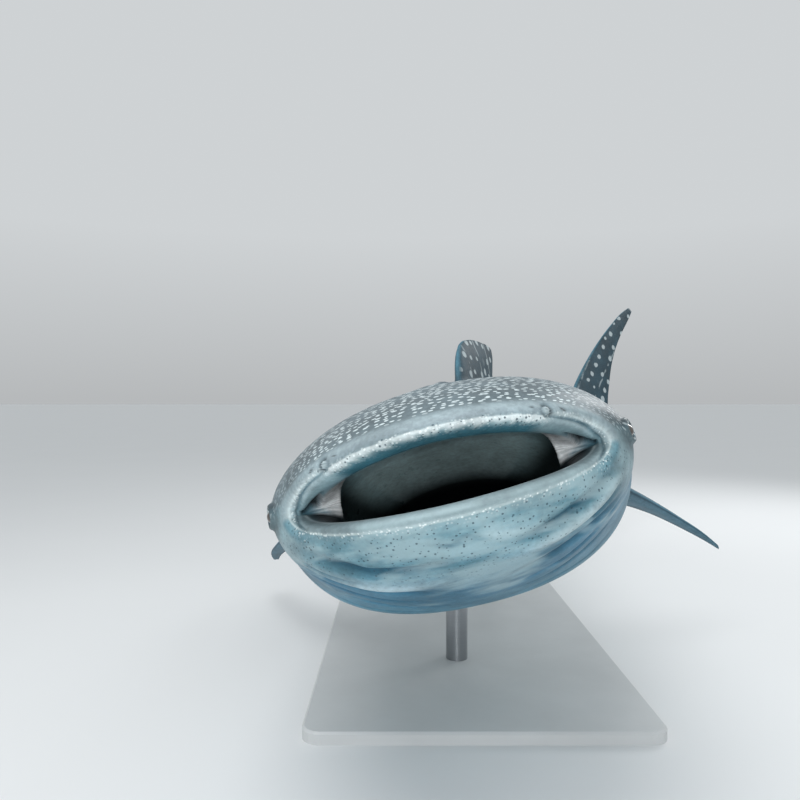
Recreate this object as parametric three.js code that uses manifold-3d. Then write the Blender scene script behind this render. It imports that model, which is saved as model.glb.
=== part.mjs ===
// Life-size display model of a swimming whale shark, about 6 m long, on a plain stand.
// Millimetres, +Z up. The shark faces -Y and its left side is on +X. The origin is the centre of the
// underside of the stand's base.
import * as THREE from 'three';
import { mergeVertices } from 'three/addons/utils/BufferGeometryUtils.js';
import Module from 'manifold-3d';

const wasm = await Module();
wasm.setup();

const DEG = Math.PI / 180;
const V = (x, y, z) => new THREE.Vector3(x, y, z);

// Width of the cut between two neighbouring parts.
const GAP = 0.4;

// Where the body axis starts: at the snout, level with the eyes.
const SNOUT = V(-222, -2088, 1077);

// Pose of the body axis. Each pair is the distance behind the snout and an angle in degrees.
const YAW = curve([[0, 8.1], [1100, 5.5], [1600, 4.2], [2200, 8], [3000, 25], [3600, 28], [4500, 36], [5100, 52],
  [5900, 61]]);
const SINK = curve([[0, 12.7], [800, 11], [1200, 6], [1600, 0], [2200, -3], [3000, -2.5], [4000, -1.5], [4800, 0]]);
const ROLL = curve([[0, 14.4], [1000, 14.4], [1700, 12.5], [4800, 12]]);
const PATH_STEP = 10;
const PATH_END = 6900;

// Rings of the skin from the end of the throat, out over the lips and back along the body.
// back: distance behind the snout at the top, the sides and the bottom. half: half width.
// rise and drop: height above and below the middle. mid: height of the middle over the eye line.
// full: fullness of the upper and lower corners, where 2 is an ellipse. rows: mesh rows to the next ring.
const RINGS = [
  { name: 'throat_end', back: [840, 840, 840], half: 60, rise: 30, drop: 40, mid: -90, full: [2, 2], rows: 1 },
  { name: 'throat', back: [800, 800, 800], half: 190, rise: 80, drop: 100, mid: -90, full: [2, 2], rows: 2 },
  { name: 'pharynx', back: [620, 620, 620], half: 300, rise: 130, drop: 170, mid: -60, full: [2.2, 2.2], rows: 2 },
  { name: 'palate', back: [360, 400, 340], half: 330, rise: 140, drop: 230, mid: -30, full: [2.3, 2.3], rows: 3 },
  { name: 'web', back: [170, 330, 150], half: 292, rise: 105, drop: 170, mid: -15, full: [2.3, 2.6], rows: 3 },
  { name: 'lip_inner', back: [60, 312, 80], half: 380, rise: 54, drop: 88, mid: -10, full: [1.4, 2], rows: 2 },
  { name: 'lip_crest', back: [0, 285, 52], half: 408, rise: 72, drop: 108, mid: -10, full: [1.7, 2], rows: 1 },
  { name: 'lip_outer', back: [8, 285, 70], half: 425, rise: 88, drop: 126, mid: -10, full: [1.9, 2.05], rows: 2 },
  { name: 'snout', back: [60, 310, 130], half: 455, rise: 130, drop: 190, mid: -8, full: [2, 2.2], rows: 2 },
  { name: 'brow', back: [200, 360, 260], half: 488, rise: 196, drop: 262, mid: -5, full: [2, 2.05], rows: 2 },
  { name: 'temple', back: [420, 460, 480], half: 506, rise: 265, drop: 325, mid: -5, full: [2.1, 2], rows: 3 },
  { name: 'cheek', back: [780, 780, 800], half: 547, rise: 352, drop: 355, mid: -15, full: [2.2, 2.35], rows: 4 },
  { name: 'gills', back: [1150, 1150, 1150], half: 555, rise: 400, drop: 368, mid: -10, full: [2.2, 2.5], rows: 4 },
  { name: 'shoulder', back: [1600, 1600, 1600], half: 535, rise: 430, drop: 410, mid: -10, full: [2.1, 2.2], rows: 4 },
  { name: 'chest', back: [2100, 2100, 2100], half: 490, rise: 440, drop: 430, mid: 0, full: [2.1, 2.1], rows: 4 },
  { name: 'back', back: [2700, 2700, 2700], half: 405, rise: 405, drop: 375, mid: 5, full: [2, 2], rows: 4 },
  { name: 'loin', back: [3300, 3300, 3300], half: 305, rise: 315, drop: 295, mid: 20, full: [2, 2], rows: 4 },
  { name: 'rump', back: [3950, 3950, 3950], half: 200, rise: 205, drop: 200, mid: 45, full: [2, 2], rows: 4 },
  { name: 'stalk', back: [4500, 4500, 4500], half: 115, rise: 125, drop: 120, mid: 60, full: [2, 2], rows: 3 },
  { name: 'tail_root', back: [4800, 4800, 4800], half: 72, rise: 108, drop: 104, mid: 65, full: [2, 2], rows: 2 },
  { name: 'tail_end', back: [4960, 4960, 4960], half: 34, rise: 60, drop: 60, mid: 70, full: [2, 2], rows: 1 },
];

// Ridges along the flanks and the middle of the back: angle round the section from the left side, and
// the height of the ridge along the body. The lowest grows into the keel of the tail stalk.
const RIDGES = [
  { angle: 12, height: curve([[900, 0], [1500, 16], [3600, 20], [4100, 34], [4450, 60], [4750, 58], [4940, 10]]) },
  { angle: 36, height: curve([[800, 0], [1300, 18], [3400, 16], [4300, 0]]) },
  { angle: 60, height: curve([[700, 0], [1200, 16], [2900, 13], [3600, 0]]) },
  { angle: 90, height: curve([[400, 0], [900, 14], [2500, 16], [3000, 8], [3500, 12], [4300, 0]]) },
];
const RIDGE_SPREAD = 4;

// Angles of the mesh columns on the left half, from the belly to the back. Ridges get three each.
const HALF_COLUMNS = [-90, -78, -66, -54, -44, -34, -25, -16, -8, 0, 7, 12, 17, 24, 31, 36, 41, 48, 55, 60, 65,
  72, 79, 85, 90];

// Stations of the cuts between the parts of the body.
const HEAD_END = 900;
const GILLS_END = 1400;
const TRUNK_END = 3950;
const STALK_END = 4650;
// The cut between head and jaw runs back from the corners of the mouth.
const JAW_FRONT = { back: 280, height: -12 };
const JAW_REAR = { back: 900, height: -90 };

// Gill slits: station of each, angles of the lower and upper end, width and depth.
const SLIT_STATIONS = [985, 1075, 1160, 1240, 1315];
const SLIT_ANGLES = [-34, 24];
const SLIT_WIDTH = 26;
const SLIT_DEPTH = 38;
const SLIT_BOW = 26;
const SLIT_ROWS = 8;
// How far the cutter of a slit stands out of the skin, and its depth at the front edge.
const SLIT_PROUD = 12;
const SLIT_FRONT_DEPTH = 3;

const EYE = { side: 472, back: 362, height: 2, radius: 26 };
const LID = { ring: 27, roll: 6, rollSides: 6, ringSides: 16 };
const SPIRACLE = { side: 520, back: 500, height: 34, size: [14, 15, 11] };
// Facets round and up a ball.
const BALL_SIDES = [12, 8];

// Nostrils: ring number and angle on the skin, the pit and the flap inside it.
const NOSTRIL = { ring: 7.05, angle: 50.5, out: 5, pit: [21, 14, 13], flapOut: -6, flap: [11, 9, 8] };
// Furrow from the nostril down behind the upper lip to the corner of the mouth, as ring numbers and angles.
// slender: share of the radius that is left at its ends.
const FURROW = { path: [[6.98, 44], [6.85, 37], [6.75, 28], [6.7, 18], [6.7, 6]], radius: 9, sink: 1, sides: 6,
  slender: 0.35 };

const STAND = { length: 2300, width: 1300, thick: 45, corner: 70, cornerSteps: 5, chamfer: 8 };
const ROD_RADIUS = 48;
const ROD_STATIONS = { front: 1700, rear: 3050 };
const ROD_SIDES = 32;

// Fins. root: side, back and height where the leading edge starts. lift: angle of the span above
// the side. lean: angle by which the span runs back. pitch: angle by which the chord falls towards the rear.
// curl: how far the tip bends along the fin's normal. plan: distance out, leading edge and trailing edge,
// both measured backwards. thick: distance out and greatest thickness. The paired fins are given for the
// left side, and RIGHT_FINS holds what differs on the right.
const FINS = [
  {
    name: 'first_dorsal_fin', root: [0, 2720, 330], lift: 90, lean: 0, pitch: 4, curl: 0,
    plan: [[-130, -150, 720], [0, -60, 700], [90, 20, 694], [180, 72, 718], [260, 122, 764], [325, 180, 800],
      [372, 250, 806], [398, 336, 772], [410, 420, 700]],
    thick: [[-130, 150], [60, 98], [280, 76], [410, 26]],
  },
  {
    name: 'second_dorsal_fin', root: [0, 3860, 190], lift: 90, lean: 0, pitch: 0, curl: 0,
    plan: [[-90, -60, 330], [0, -10, 320], [70, 60, 300], [150, 130, 285], [205, 190, 285], [222, 222, 275]],
    thick: [[-90, 70], [60, 44], [222, 16]],
  },
  {
    name: 'anal_fin', root: [0, 3930, -120], lift: -90, lean: 0, pitch: 0, curl: 0,
    plan: [[-90, -60, 320], [0, -10, 310], [70, 60, 290], [150, 130, 275], [200, 185, 275], [216, 215, 265]],
    thick: [[-90, 70], [60, 42], [216, 16]],
  },
  {
    name: 'pelvic_fin_left', root: [150, 3020, -210], lift: -40, lean: 0, pitch: 5, curl: 0,
    plan: [[-110, -60, 330], [0, -10, 315], [90, 60, 290], [180, 135, 270], [235, 195, 265], [252, 225, 255]],
    thick: [[-110, 66], [60, 44], [252, 16]],
  },
  {
    name: 'pectoral_fin_left', root: [440, 1440, 20], lift: -9, lean: 36, pitch: 31, curl: -235,
    plan: [[-190, -120, 560], [0, -30, 510], [120, 60, 470], [300, 200, 480], [500, 372, 560], [700, 560, 690],
      [835, 704, 786], [880, 776, 824]],
    thick: [[-190, 150], [80, 96], [500, 58], [880, 18]],
  },
];
const RIGHT_FINS = {
  pelvic_fin_left: { name: 'pelvic_fin_right', lift: -36 },
  pectoral_fin_left: { name: 'pectoral_fin_right', lift: 16, lean: 34 },
};
const TAIL_LOBES = [
  {
    name: 'upper_lobe', root: [0, 4700, 130], lift: 90, lean: 42, pitch: 0, curl: 0, upright: true,
    plan: [[-160, -20, 230], [0, 0, 340], [150, -6, 470], [320, -6, 480], [600, 6, 370], [900, 30, 262],
      [1200, 70, 214], [1420, 112, 206], [1520, 146, 196]],
    thick: [[-160, 150], [60, 112], [500, 66], [1000, 40], [1520, 16]],
  },
  {
    name: 'lower_lobe', root: [0, 4690, 0], lift: -90, lean: 34, pitch: 0, curl: 0, upright: true,
    plan: [[-120, 0, 260], [0, 0, 330], [150, 20, 350], [350, 56, 290], [550, 104, 235], [680, 146, 212],
      [740, 180, 204]],
    thick: [[-120, 120], [60, 92], [400, 50], [740, 16]],
  },
];
// Places across a fin's chord, from the leading to the trailing edge, and the share of the greatest
// thickness there.
const FIN_CHORD = [0, 0.05, 0.17, 0.4, 0.7, 1];
const FIN_SWELL = [0, 0.56, 0.9, 1, 0.56, 0.08];
const FIN_EDGE = 6;
// Rows of a fin's plan that are further apart than this get one more between them.
const FIN_ROW_SPACING = 110;

// Finishes, taken by eye from the photo.
const COLOURS = { back: '#6f8289', jaw: '#9dbcc5', flank: '#566e78', fin: '#1f4150', eye: '#151312', stand: '#c9cbcb',
  rod: '#b9bcbc' };

function curve(pairs) {
  const steps = pairs.slice(1).map((p, i) => p[0] - pairs[i][0]);
  const slopes = steps.map((h, i) => (pairs[i + 1][1] - pairs[i][1]) / h);
  const tangents = pairs.map((p, i) => {
    if (i === 0) return slopes[0];
    if (i === steps.length) return slopes[i - 1];
    const [a, b, h, k] = [slopes[i - 1], slopes[i], steps[i - 1], steps[i]];
    const mean = (a * k + b * h) / (h + k);
    return (Math.sign(a) + Math.sign(b)) * Math.min(Math.abs(a), Math.abs(b), Math.abs(mean) / 2);
  });
  return (x) => {
    let i = 0;
    while (i < steps.length - 1 && x > pairs[i + 1][0]) i += 1;
    const t = Math.min(Math.max((x - pairs[i][0]) / steps[i], 0), 1);
    const bend = steps[i] * (tangents[i] * t * (1 - t) ** 2 - tangents[i + 1] * t * t * (1 - t));
    return pairs[i][1] + (pairs[i + 1][1] - pairs[i][1]) * t * t * (3 - 2 * t) + bend;
  };
}

// The body axis as a list of frames: a point, and the directions to the left, up and back.
function walkAxis() {
  const frames = [];
  const at = SNOUT.clone();
  for (let s = 0; s <= PATH_END; s += PATH_STEP) {
    const [yaw, sink, roll] = [YAW(s) * DEG, SINK(s) * DEG, ROLL(s) * DEG];
    const back = V(Math.sin(yaw) * Math.cos(sink), Math.cos(yaw) * Math.cos(sink), -Math.sin(sink));
    const level = V(Math.cos(yaw), -Math.sin(yaw), 0);
    const upright = back.clone().negate().cross(level);
    const left = level.clone().multiplyScalar(Math.cos(roll)).addScaledVector(upright, Math.sin(roll));
    const up = upright.clone().multiplyScalar(Math.cos(roll)).addScaledVector(level, -Math.sin(roll));
    frames.push({ at: at.clone(), left, up, back });
    at.addScaledVector(back, PATH_STEP);
  }
  return frames;
}

const AXIS = walkAxis();

function axisFrame(s) {
  const k = Math.min(Math.max(s / PATH_STEP, 0), AXIS.length - 1.001);
  const i = Math.floor(k);
  const mix = (key) => AXIS[i][key].clone().lerp(AXIS[i + 1][key], k - i);
  return { at: mix('at'), left: mix('left').normalize(), up: mix('up').normalize(), back: mix('back').normalize() };
}

// Body coordinates (left, behind the snout, above the eye line) to the frame of the part.
function place(side, back, height) {
  const frame = axisFrame(back);
  const lead = Math.min(back, 0);
  return frame.at.addScaledVector(frame.left, side).addScaledVector(frame.up, height)
    .addScaledVector(frame.back, lead);
}

const signedPower = (value, power) => Math.sign(value) * Math.abs(value) ** power;

function ringKnots() {
  const knots = [0];
  for (let i = 1; i < RINGS.length; i += 1) {
    const [a, b] = [RINGS[i - 1], RINGS[i]];
    knots.push(knots[i - 1] + Math.hypot(b.back[0] - a.back[0], b.half - a.half, b.rise - a.rise, b.drop - a.drop));
  }
  return knots;
}

const KNOTS = ringKnots();
const ringCurve = (pick) => curve(RINGS.map((ring, i) => [KNOTS[i], pick(ring)]));
const RING_CURVES = {
  top: ringCurve((r) => r.back[0]), side: ringCurve((r) => r.back[1]), low: ringCurve((r) => r.back[2]),
  half: ringCurve((r) => r.half), rise: ringCurve((r) => r.rise), drop: ringCurve((r) => r.drop),
  mid: ringCurve((r) => r.mid), fullTop: ringCurve((r) => r.full[0]), fullLow: ringCurve((r) => r.full[1]),
};
// How the distance back blends from the middle of a ring to its sides.
const SIDE_BLEND = 2.6;
const OUTER_RING = RINGS.findIndex((ring) => ring.name === 'lip_outer');

function ridgeLift(angle, back) {
  const folded = angle > 90 ? 180 - angle : angle;
  return RIDGES.reduce((sum, r) => sum + r.height(back) * Math.exp(-(((folded - r.angle) / RIDGE_SPREAD) ** 2)), 0);
}

// A point of the skin in body coordinates: along the rings by knot distance, and round them by angle,
// where 0 is the left side, 90 the top and -90 the bottom.
function skinPoint(along, angle, swell = 0) {
  const ring = Object.fromEntries(Object.entries(RING_CURVES).map(([key, f]) => [key, f(along)]));
  const [c, q] = [Math.cos(angle * DEG), Math.sin(angle * DEG)];
  const power = 2 / (q >= 0 ? ring.fullTop : ring.fullLow);
  const reach = signedPower(c, power);
  const depth = signedPower(q, power);
  const middle = q >= 0 ? ring.top : ring.low;
  const back = middle + (ring.side - middle) * Math.abs(reach) ** SIDE_BLEND;
  const lift = swell + (along > KNOTS[OUTER_RING] ? ridgeLift(angle, back) : 0);
  const side = (ring.half + lift) * reach;
  const height = ring.mid + ((q >= 0 ? ring.rise : ring.drop) + lift) * depth;
  return [side, back, height];
}

function skinPlace(along, angle, out = 0) {
  const point = place(...skinPoint(along, angle));
  if (!out) return point;
  return point.addScaledVector(skinNormal(along, angle), out);
}

function skinNormal(along, angle) {
  const ahead = place(...skinPoint(along + 2, angle)).sub(place(...skinPoint(along - 2, angle)));
  const round = place(...skinPoint(along, angle + 0.5)).sub(place(...skinPoint(along, angle - 0.5)));
  return ahead.cross(round).normalize();
}

// Knot distance of a station behind the cheeks, where the rings are flat, found by halving.
const HALVINGS = 40;
function knotAt(back) {
  let [low, high] = [KNOTS[OUTER_RING], KNOTS[KNOTS.length - 1]];
  for (let i = 0; i < HALVINGS; i += 1) {
    const middle = (low + high) / 2;
    if (RING_CURVES.side(middle) < back) low = middle;
    else high = middle;
  }
  return low;
}

function solid(points, faces) {
  const volume = faces.reduce((sum, [a, b, c]) => sum + points[a].dot(points[b].clone().cross(points[c])), 0);
  const outward = volume > 0 ? faces : faces.map(([a, b, c]) => [a, c, b]);
  const mesh = new wasm.Mesh({
    numProp: 3,
    vertProperties: new Float32Array(points.flatMap((p) => [p.x, p.y, p.z])),
    triVerts: new Uint32Array(outward.flat()),
  });
  return new wasm.Manifold(mesh);
}

function solidOf(geometry) {
  geometry.deleteAttribute('normal');
  geometry.deleteAttribute('uv');
  const merged = mergeVertices(geometry, 1e-3);
  const at = merged.attributes.position;
  const points = Array.from({ length: at.count }, (_, i) => V(at.getX(i), at.getY(i), at.getZ(i)));
  const index = Array.from(merged.index.array);
  const faces = [];
  for (let i = 0; i < index.length; i += 3) faces.push(index.slice(i, i + 3));
  return solid(points, faces);
}

// A closed body through rows of points, every row with the same number, and a cap at each end.
function loft(rows) {
  const count = rows[0].length;
  const points = rows.flat();
  const faces = [];
  for (let i = 0; i < rows.length - 1; i += 1) {
    for (let j = 0; j < count; j += 1) {
      const k = (j + 1) % count;
      const [a, b, c, d] = [i * count + j, i * count + k, (i + 1) * count + j, (i + 1) * count + k];
      faces.push([a, c, b], [b, c, d]);
    }
  }
  [[0, false], [rows.length - 1, true]].forEach(([row, last]) => {
    const middle = points.length;
    points.push(rows[row].reduce((sum, p) => sum.add(p), V(0, 0, 0)).divideScalar(count));
    for (let j = 0; j < count; j += 1) {
      const [a, b] = [row * count + j, row * count + ((j + 1) % count)];
      faces.push(last ? [a, middle, b] : [a, b, middle]);
    }
  });
  return solid(points, faces);
}

const allColumns = () => {
  const right = HALF_COLUMNS.slice(1, -1).map((angle) => 180 - angle).reverse();
  return [...HALF_COLUMNS, ...right];
};

function skinRows(first, swell) {
  const knots = [];
  for (let i = first; i < RINGS.length - 1; i += 1) {
    const { rows } = RINGS[i];
    for (let k = 0; k < rows; k += 1) knots.push(KNOTS[i] + ((KNOTS[i + 1] - KNOTS[i]) * k) / rows);
  }
  knots.push(KNOTS[KNOTS.length - 1]);
  return knots.map((along) => allColumns().map((angle) => place(...skinPoint(along, angle, swell))));
}

// Everything in front of a station, or behind it, as a large block.
const REACH = 5000;
function block(frame, near) {
  const box = new THREE.BoxGeometry(REACH, REACH, REACH);
  const turn = new THREE.Matrix4().makeBasis(frame.left, frame.back, frame.up).setPosition(frame.at);
  box.translate(...near);
  box.applyMatrix4(turn);
  return solidOf(box);
}
const ahead = (s) => block(axisFrame(s), [0, -REACH / 2 - GAP / 2, 0]);
const behind = (s) => block(axisFrame(s), [0, REACH / 2 + GAP / 2, 0]);

function jawBlock(gap, upper) {
  const front = place(0, JAW_FRONT.back, JAW_FRONT.height);
  const rear = place(0, JAW_REAR.back, JAW_REAR.height);
  const back = rear.clone().sub(front).normalize();
  const { left } = axisFrame(JAW_FRONT.back);
  const up = left.clone().cross(back).normalize();
  const shift = upper ? REACH / 2 + gap / 2 : -REACH / 2 - gap / 2;
  return block({ at: front, left: back.clone().cross(up), back, up }, [0, 0, shift]);
}

function largest(body) {
  const pieces = body.decompose();
  return pieces.reduce((best, piece) => (piece.volume() > best.volume() ? piece : best));
}

function ball(centre, radii, frame) {
  const sphere = new THREE.SphereGeometry(1, ...BALL_SIDES);
  sphere.scale(...radii);
  sphere.applyMatrix4(new THREE.Matrix4().makeBasis(frame.left, frame.back, frame.up).setPosition(centre));
  return solidOf(sphere);
}

// A groove: a round cutter drawn along points of the skin given by ring number and angle.
function groove(path, side) {
  const stations = curve(path.map((p, i) => [i, p[0]]));
  const angles = curve(path.map((p, i) => [i, p[1]]));
  const spot = (t) => [knotOfRing(stations(t)), side > 0 ? angles(t) : 180 - angles(t)];
  const end = path.length - 1;
  const count = end * 2;
  const rows = Array.from({ length: count + 1 }, (_, i) => {
    const t = (i / count) * end;
    const normal = skinNormal(...spot(t));
    const run = skinPlace(...spot(Math.min(t + 0.1, end))).sub(skinPlace(...spot(Math.max(t - 0.1, 0))));
    const across = run.cross(normal).normalize();
    const centre = skinPlace(...spot(t), -FURROW.sink);
    const bulge = Math.sin((Math.PI * (i + 0.6)) / (count + 1.2));
    const size = FURROW.radius * (FURROW.slender + (1 - FURROW.slender) * bulge);
    return Array.from({ length: FURROW.sides }, (__, k) => {
      const angle = (k * 2 * Math.PI) / FURROW.sides;
      return centre.clone().addScaledVector(across, size * Math.cos(angle))
        .addScaledVector(normal, size * Math.sin(angle));
    });
  });
  return loft(rows);
}

function knotOfRing(number) {
  const i = Math.min(Math.floor(number), RINGS.length - 2);
  return KNOTS[i] + (KNOTS[i + 1] - KNOTS[i]) * (number - i);
}

// One gill slit: a wedge that opens backwards and is deepest under the rear edge of the flap.
function gillSlit(station, side) {
  const rows = [];
  for (let i = 0; i <= SLIT_ROWS; i += 1) {
    const t = i / SLIT_ROWS;
    const open = Math.sin(Math.PI * (0.06 + 0.88 * t));
    const angle = SLIT_ANGLES[0] + (SLIT_ANGLES[1] - SLIT_ANGLES[0]) * t;
    const back = station + SLIT_BOW * (1 - 4 * (t - 0.5) ** 2);
    const turn = side > 0 ? angle : 180 - angle;
    const front = knotAt(back - (SLIT_WIDTH / 2) * open);
    const rear = knotAt(back + (SLIT_WIDTH / 2) * open);
    rows.push([skinPlace(front, turn, SLIT_PROUD), skinPlace(rear, turn, SLIT_PROUD),
      skinPlace(rear, turn, -SLIT_DEPTH * open), skinPlace(front, turn, -SLIT_FRONT_DEPTH * open)]);
  }
  return loft(rows);
}

// A fin as a thin body whose two faces are split alike. mirror turns a left fin into a right one.
function fin(spec, mirror = 1) {
  const [side, back, height] = spec.root;
  const [lift, lean, pitch] = [spec.lift * DEG, spec.lean * DEG, spec.pitch * DEG];
  const span = V(Math.cos(lift) * Math.cos(lean) * mirror, Math.sin(lean), Math.sin(lift) * Math.cos(lean));
  const flat = V(0, Math.cos(pitch), -Math.sin(pitch));
  const chord = spec.upright ? V(0, Math.cos(lean), -Math.sin(lift) * Math.sin(lean)) : flat;
  const normal = span.clone().cross(chord).normalize().multiplyScalar(mirror);
  const lead = curve(spec.plan.map((row) => [row[0], row[1]]));
  const trail = curve(spec.plan.map((row) => [row[0], row[2]]));
  const thick = curve(spec.thick);
  const outs = spec.plan.flatMap((row, i) => {
    const next = spec.plan[i + 1];
    return next && next[0] - row[0] > FIN_ROW_SPACING ? [row[0], (row[0] + next[0]) / 2] : [row[0]];
  });
  const tip = outs[outs.length - 1];
  const face = (out, share, swell, sign) => {
    const along = lead(out) + (trail(out) - lead(out)) * share;
    const bend = spec.curl * (Math.max(out, 0) / tip) ** 2;
    const off = bend + sign * (swell ? Math.max(thick(out) * swell, FIN_EDGE) / 2 : 0);
    const p = V(side * mirror, back, height).addScaledVector(span, out).addScaledVector(chord, along)
      .addScaledVector(normal, off);
    return place(p.x, p.y, p.z);
  };
  const points = [];
  const number = (p) => points.push(p) - 1;
  const sheets = [1, -1].map((sign) => outs.map((out) => FIN_CHORD.map((share, j) => (
    j === 0 && sign < 0 ? null : number(face(out, share, FIN_SWELL[j], sign))))));
  sheets[1].forEach((row, i) => { row[0] = sheets[0][i][0]; });
  const faces = [];
  const [rows, columns] = [outs.length, FIN_CHORD.length];
  sheets.forEach((sheet, under) => {
    for (let i = 0; i < rows - 1; i += 1) {
      for (let j = 0; j < columns - 1; j += 1) {
        const [a, b, c, d] = [sheet[i][j], sheet[i][j + 1], sheet[i + 1][j], sheet[i + 1][j + 1]];
        [[a, b, d], [a, d, c]].forEach((t) => faces.push(under ? t.reverse() : t));
      }
    }
  });
  const last = columns - 1;
  for (let i = 0; i < rows - 1; i += 1) {
    const [a, b, c, d] = [sheets[0][i][last], sheets[1][i][last], sheets[0][i + 1][last], sheets[1][i + 1][last]];
    faces.push([a, b, d], [a, d, c]);
  }
  [[0, 1], [rows - 1, 0]].forEach(([i, turn]) => {
    for (let j = 0; j < last; j += 1) {
      const [a, b, c, d] = [sheets[0][i][j], sheets[0][i][j + 1], sheets[1][i][j], sheets[1][i][j + 1]];
      const cap = j === 0 ? [[a, b, d]] : [[a, b, d], [a, d, c]];
      cap.forEach((t) => faces.push(turn ? t.reverse() : t));
    }
  });
  return solid(points, faces);
}

// A flat slab with rounded corners and a chamfered upper edge.
function slab({ length, width, thick, corner, cornerSteps, chamfer }) {
  const outline = (inset, z) => {
    const row = [];
    [[1, 1, 0], [-1, 1, 90], [-1, -1, 180], [1, -1, 270]].forEach(([sx, sy, from]) => {
      for (let k = 0; k <= cornerSteps; k += 1) {
        const angle = (from + (k * 90) / cornerSteps) * DEG;
        row.push(V(sx * (width / 2 - corner) + (corner - inset) * Math.cos(angle),
          sy * (length / 2 - corner) + (corner - inset) * Math.sin(angle), z));
      }
    });
    return row;
  };
  return loft([outline(0, 0), outline(0, thick - chamfer), outline(chamfer, thick)]);
}

function rod(station) {
  const top = axisFrame(station).at;
  const height = top.z - STAND.thick - GAP;
  const bar = new THREE.CylinderGeometry(ROD_RADIUS, ROD_RADIUS, height, ROD_SIDES);
  bar.rotateX(90 * DEG);
  bar.translate(top.x, top.y, STAND.thick + GAP + height / 2);
  return solidOf(bar);
}

const group = new THREE.Group();
group.name = 'whale_shark_model';

function add(name, body, colour, roughness, metalness = 0) {
  const shape = largest(body).getMesh();
  const geometry = new THREE.BufferGeometry();
  geometry.setAttribute('position', new THREE.BufferAttribute(new Float32Array(shape.vertProperties), 3));
  geometry.setIndex(new THREE.BufferAttribute(new Uint32Array(shape.triVerts), 1));
  geometry.computeVertexNormals();
  const mesh = new THREE.Mesh(geometry, new THREE.MeshStandardMaterial({ color: colour, roughness, metalness }));
  mesh.name = name;
  group.add(mesh);
}

let body = loft(skinRows(0, 0));
// The same body a little larger and without its mouth: what fins and rods are trimmed with.
const shell = loft(skinRows(OUTER_RING, GAP));

[1, -1].forEach((side) => {
  const name = side > 0 ? 'left' : 'right';
  const frame = axisFrame(EYE.back);
  const centre = place(EYE.side * side, EYE.back, EYE.height);
  const lid = new THREE.TorusGeometry(LID.ring, LID.roll, LID.rollSides, LID.ringSides);
  lid.rotateY(90 * DEG);
  lid.translate(LID.roll * side, 0, 0);
  lid.applyMatrix4(new THREE.Matrix4().makeBasis(frame.left, frame.back, frame.up).setPosition(centre));
  const socket = EYE.radius + GAP;
  body = body.add(solidOf(lid)).subtract(ball(centre, [socket, socket, socket], frame));
  add(`eye_${name}`, ball(centre, [EYE.radius, EYE.radius, EYE.radius], frame), COLOURS.eye, 0.15);

  const along = knotOfRing(NOSTRIL.ring);
  const turn = side > 0 ? NOSTRIL.angle : 180 - NOSTRIL.angle;
  body = body.subtract(ball(skinPlace(along, turn, NOSTRIL.out), NOSTRIL.pit, frame))
    .add(ball(skinPlace(along, turn, NOSTRIL.flapOut), NOSTRIL.flap, frame))
    .subtract(groove(FURROW.path, side))
    .subtract(ball(place(SPIRACLE.side * side, SPIRACLE.back, SPIRACLE.height), SPIRACLE.size, frame));
});

SLIT_STATIONS.forEach((station) => [1, -1].forEach((side) => {
  body = body.subtract(gillSlit(station, side));
}));

const front = body.intersect(ahead(HEAD_END));
add('head', front.intersect(jawBlock(GAP, true)), COLOURS.back, 0.55);
add('lower_jaw', front.intersect(jawBlock(GAP, false)), COLOURS.jaw, 0.55);
add('gill_region', body.intersect(behind(HEAD_END)).intersect(ahead(GILLS_END)), COLOURS.back, 0.55);
add('trunk', body.intersect(behind(GILLS_END)).intersect(ahead(TRUNK_END)), COLOURS.flank, 0.55);
add('tail_stalk', body.intersect(behind(TRUNK_END)).intersect(ahead(STALK_END)), COLOURS.flank, 0.55);

const lobes = TAIL_LOBES.map((lobe) => fin(lobe));
add('caudal_fin', body.add(lobes[0]).add(lobes[1]).intersect(behind(STALK_END)), COLOURS.fin, 0.5);

FINS.forEach((spec) => {
  add(spec.name, fin(spec).subtract(shell), COLOURS.fin, 0.5);
  const right = RIGHT_FINS[spec.name];
  if (right) add(right.name, fin({ ...spec, ...right }, -1).subtract(shell), COLOURS.fin, 0.5);
});

add('stand_base', slab(STAND), COLOURS.stand, 0.6);
Object.entries(ROD_STATIONS).forEach(([name, station]) => {
  add(`stand_rod_${name}`, rod(station).subtract(shell), COLOURS.rod, 0.35, 0.6);
});

export default group;
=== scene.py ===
"""Looks of a life-size display model of a whale shark that feeds with its mouth open, on a plain stand.

Metres, +Z up. The shark faces -Y and its left side is on +X. The animal is first modelled straight, in body
coordinates (left, behind the snout, above the eye line), where its rings, fins, folds and markings are easy
to lay out. The finished skin is then bent into the pose along the axis of the body.
"""
import logging
import math
from collections.abc import Callable
from dataclasses import dataclass, field
from enum import Enum

import bpy
import numpy as np
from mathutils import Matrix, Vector
from mathutils.bvhtree import BVHTree
from mathutils.kdtree import KDTree


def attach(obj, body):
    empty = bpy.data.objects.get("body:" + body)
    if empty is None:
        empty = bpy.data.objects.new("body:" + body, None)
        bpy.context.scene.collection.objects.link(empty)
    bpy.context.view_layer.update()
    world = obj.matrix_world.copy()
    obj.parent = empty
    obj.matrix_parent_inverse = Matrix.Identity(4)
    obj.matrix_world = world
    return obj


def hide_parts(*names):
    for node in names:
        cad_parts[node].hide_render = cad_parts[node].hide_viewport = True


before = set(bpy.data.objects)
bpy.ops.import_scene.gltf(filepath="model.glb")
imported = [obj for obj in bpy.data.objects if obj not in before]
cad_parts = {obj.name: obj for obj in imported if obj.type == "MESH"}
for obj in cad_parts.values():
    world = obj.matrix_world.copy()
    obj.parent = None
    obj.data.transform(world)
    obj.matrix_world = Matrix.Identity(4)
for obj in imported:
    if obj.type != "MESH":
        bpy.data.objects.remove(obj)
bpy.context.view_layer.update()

LOG = logging.getLogger("whale_shark")

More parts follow.
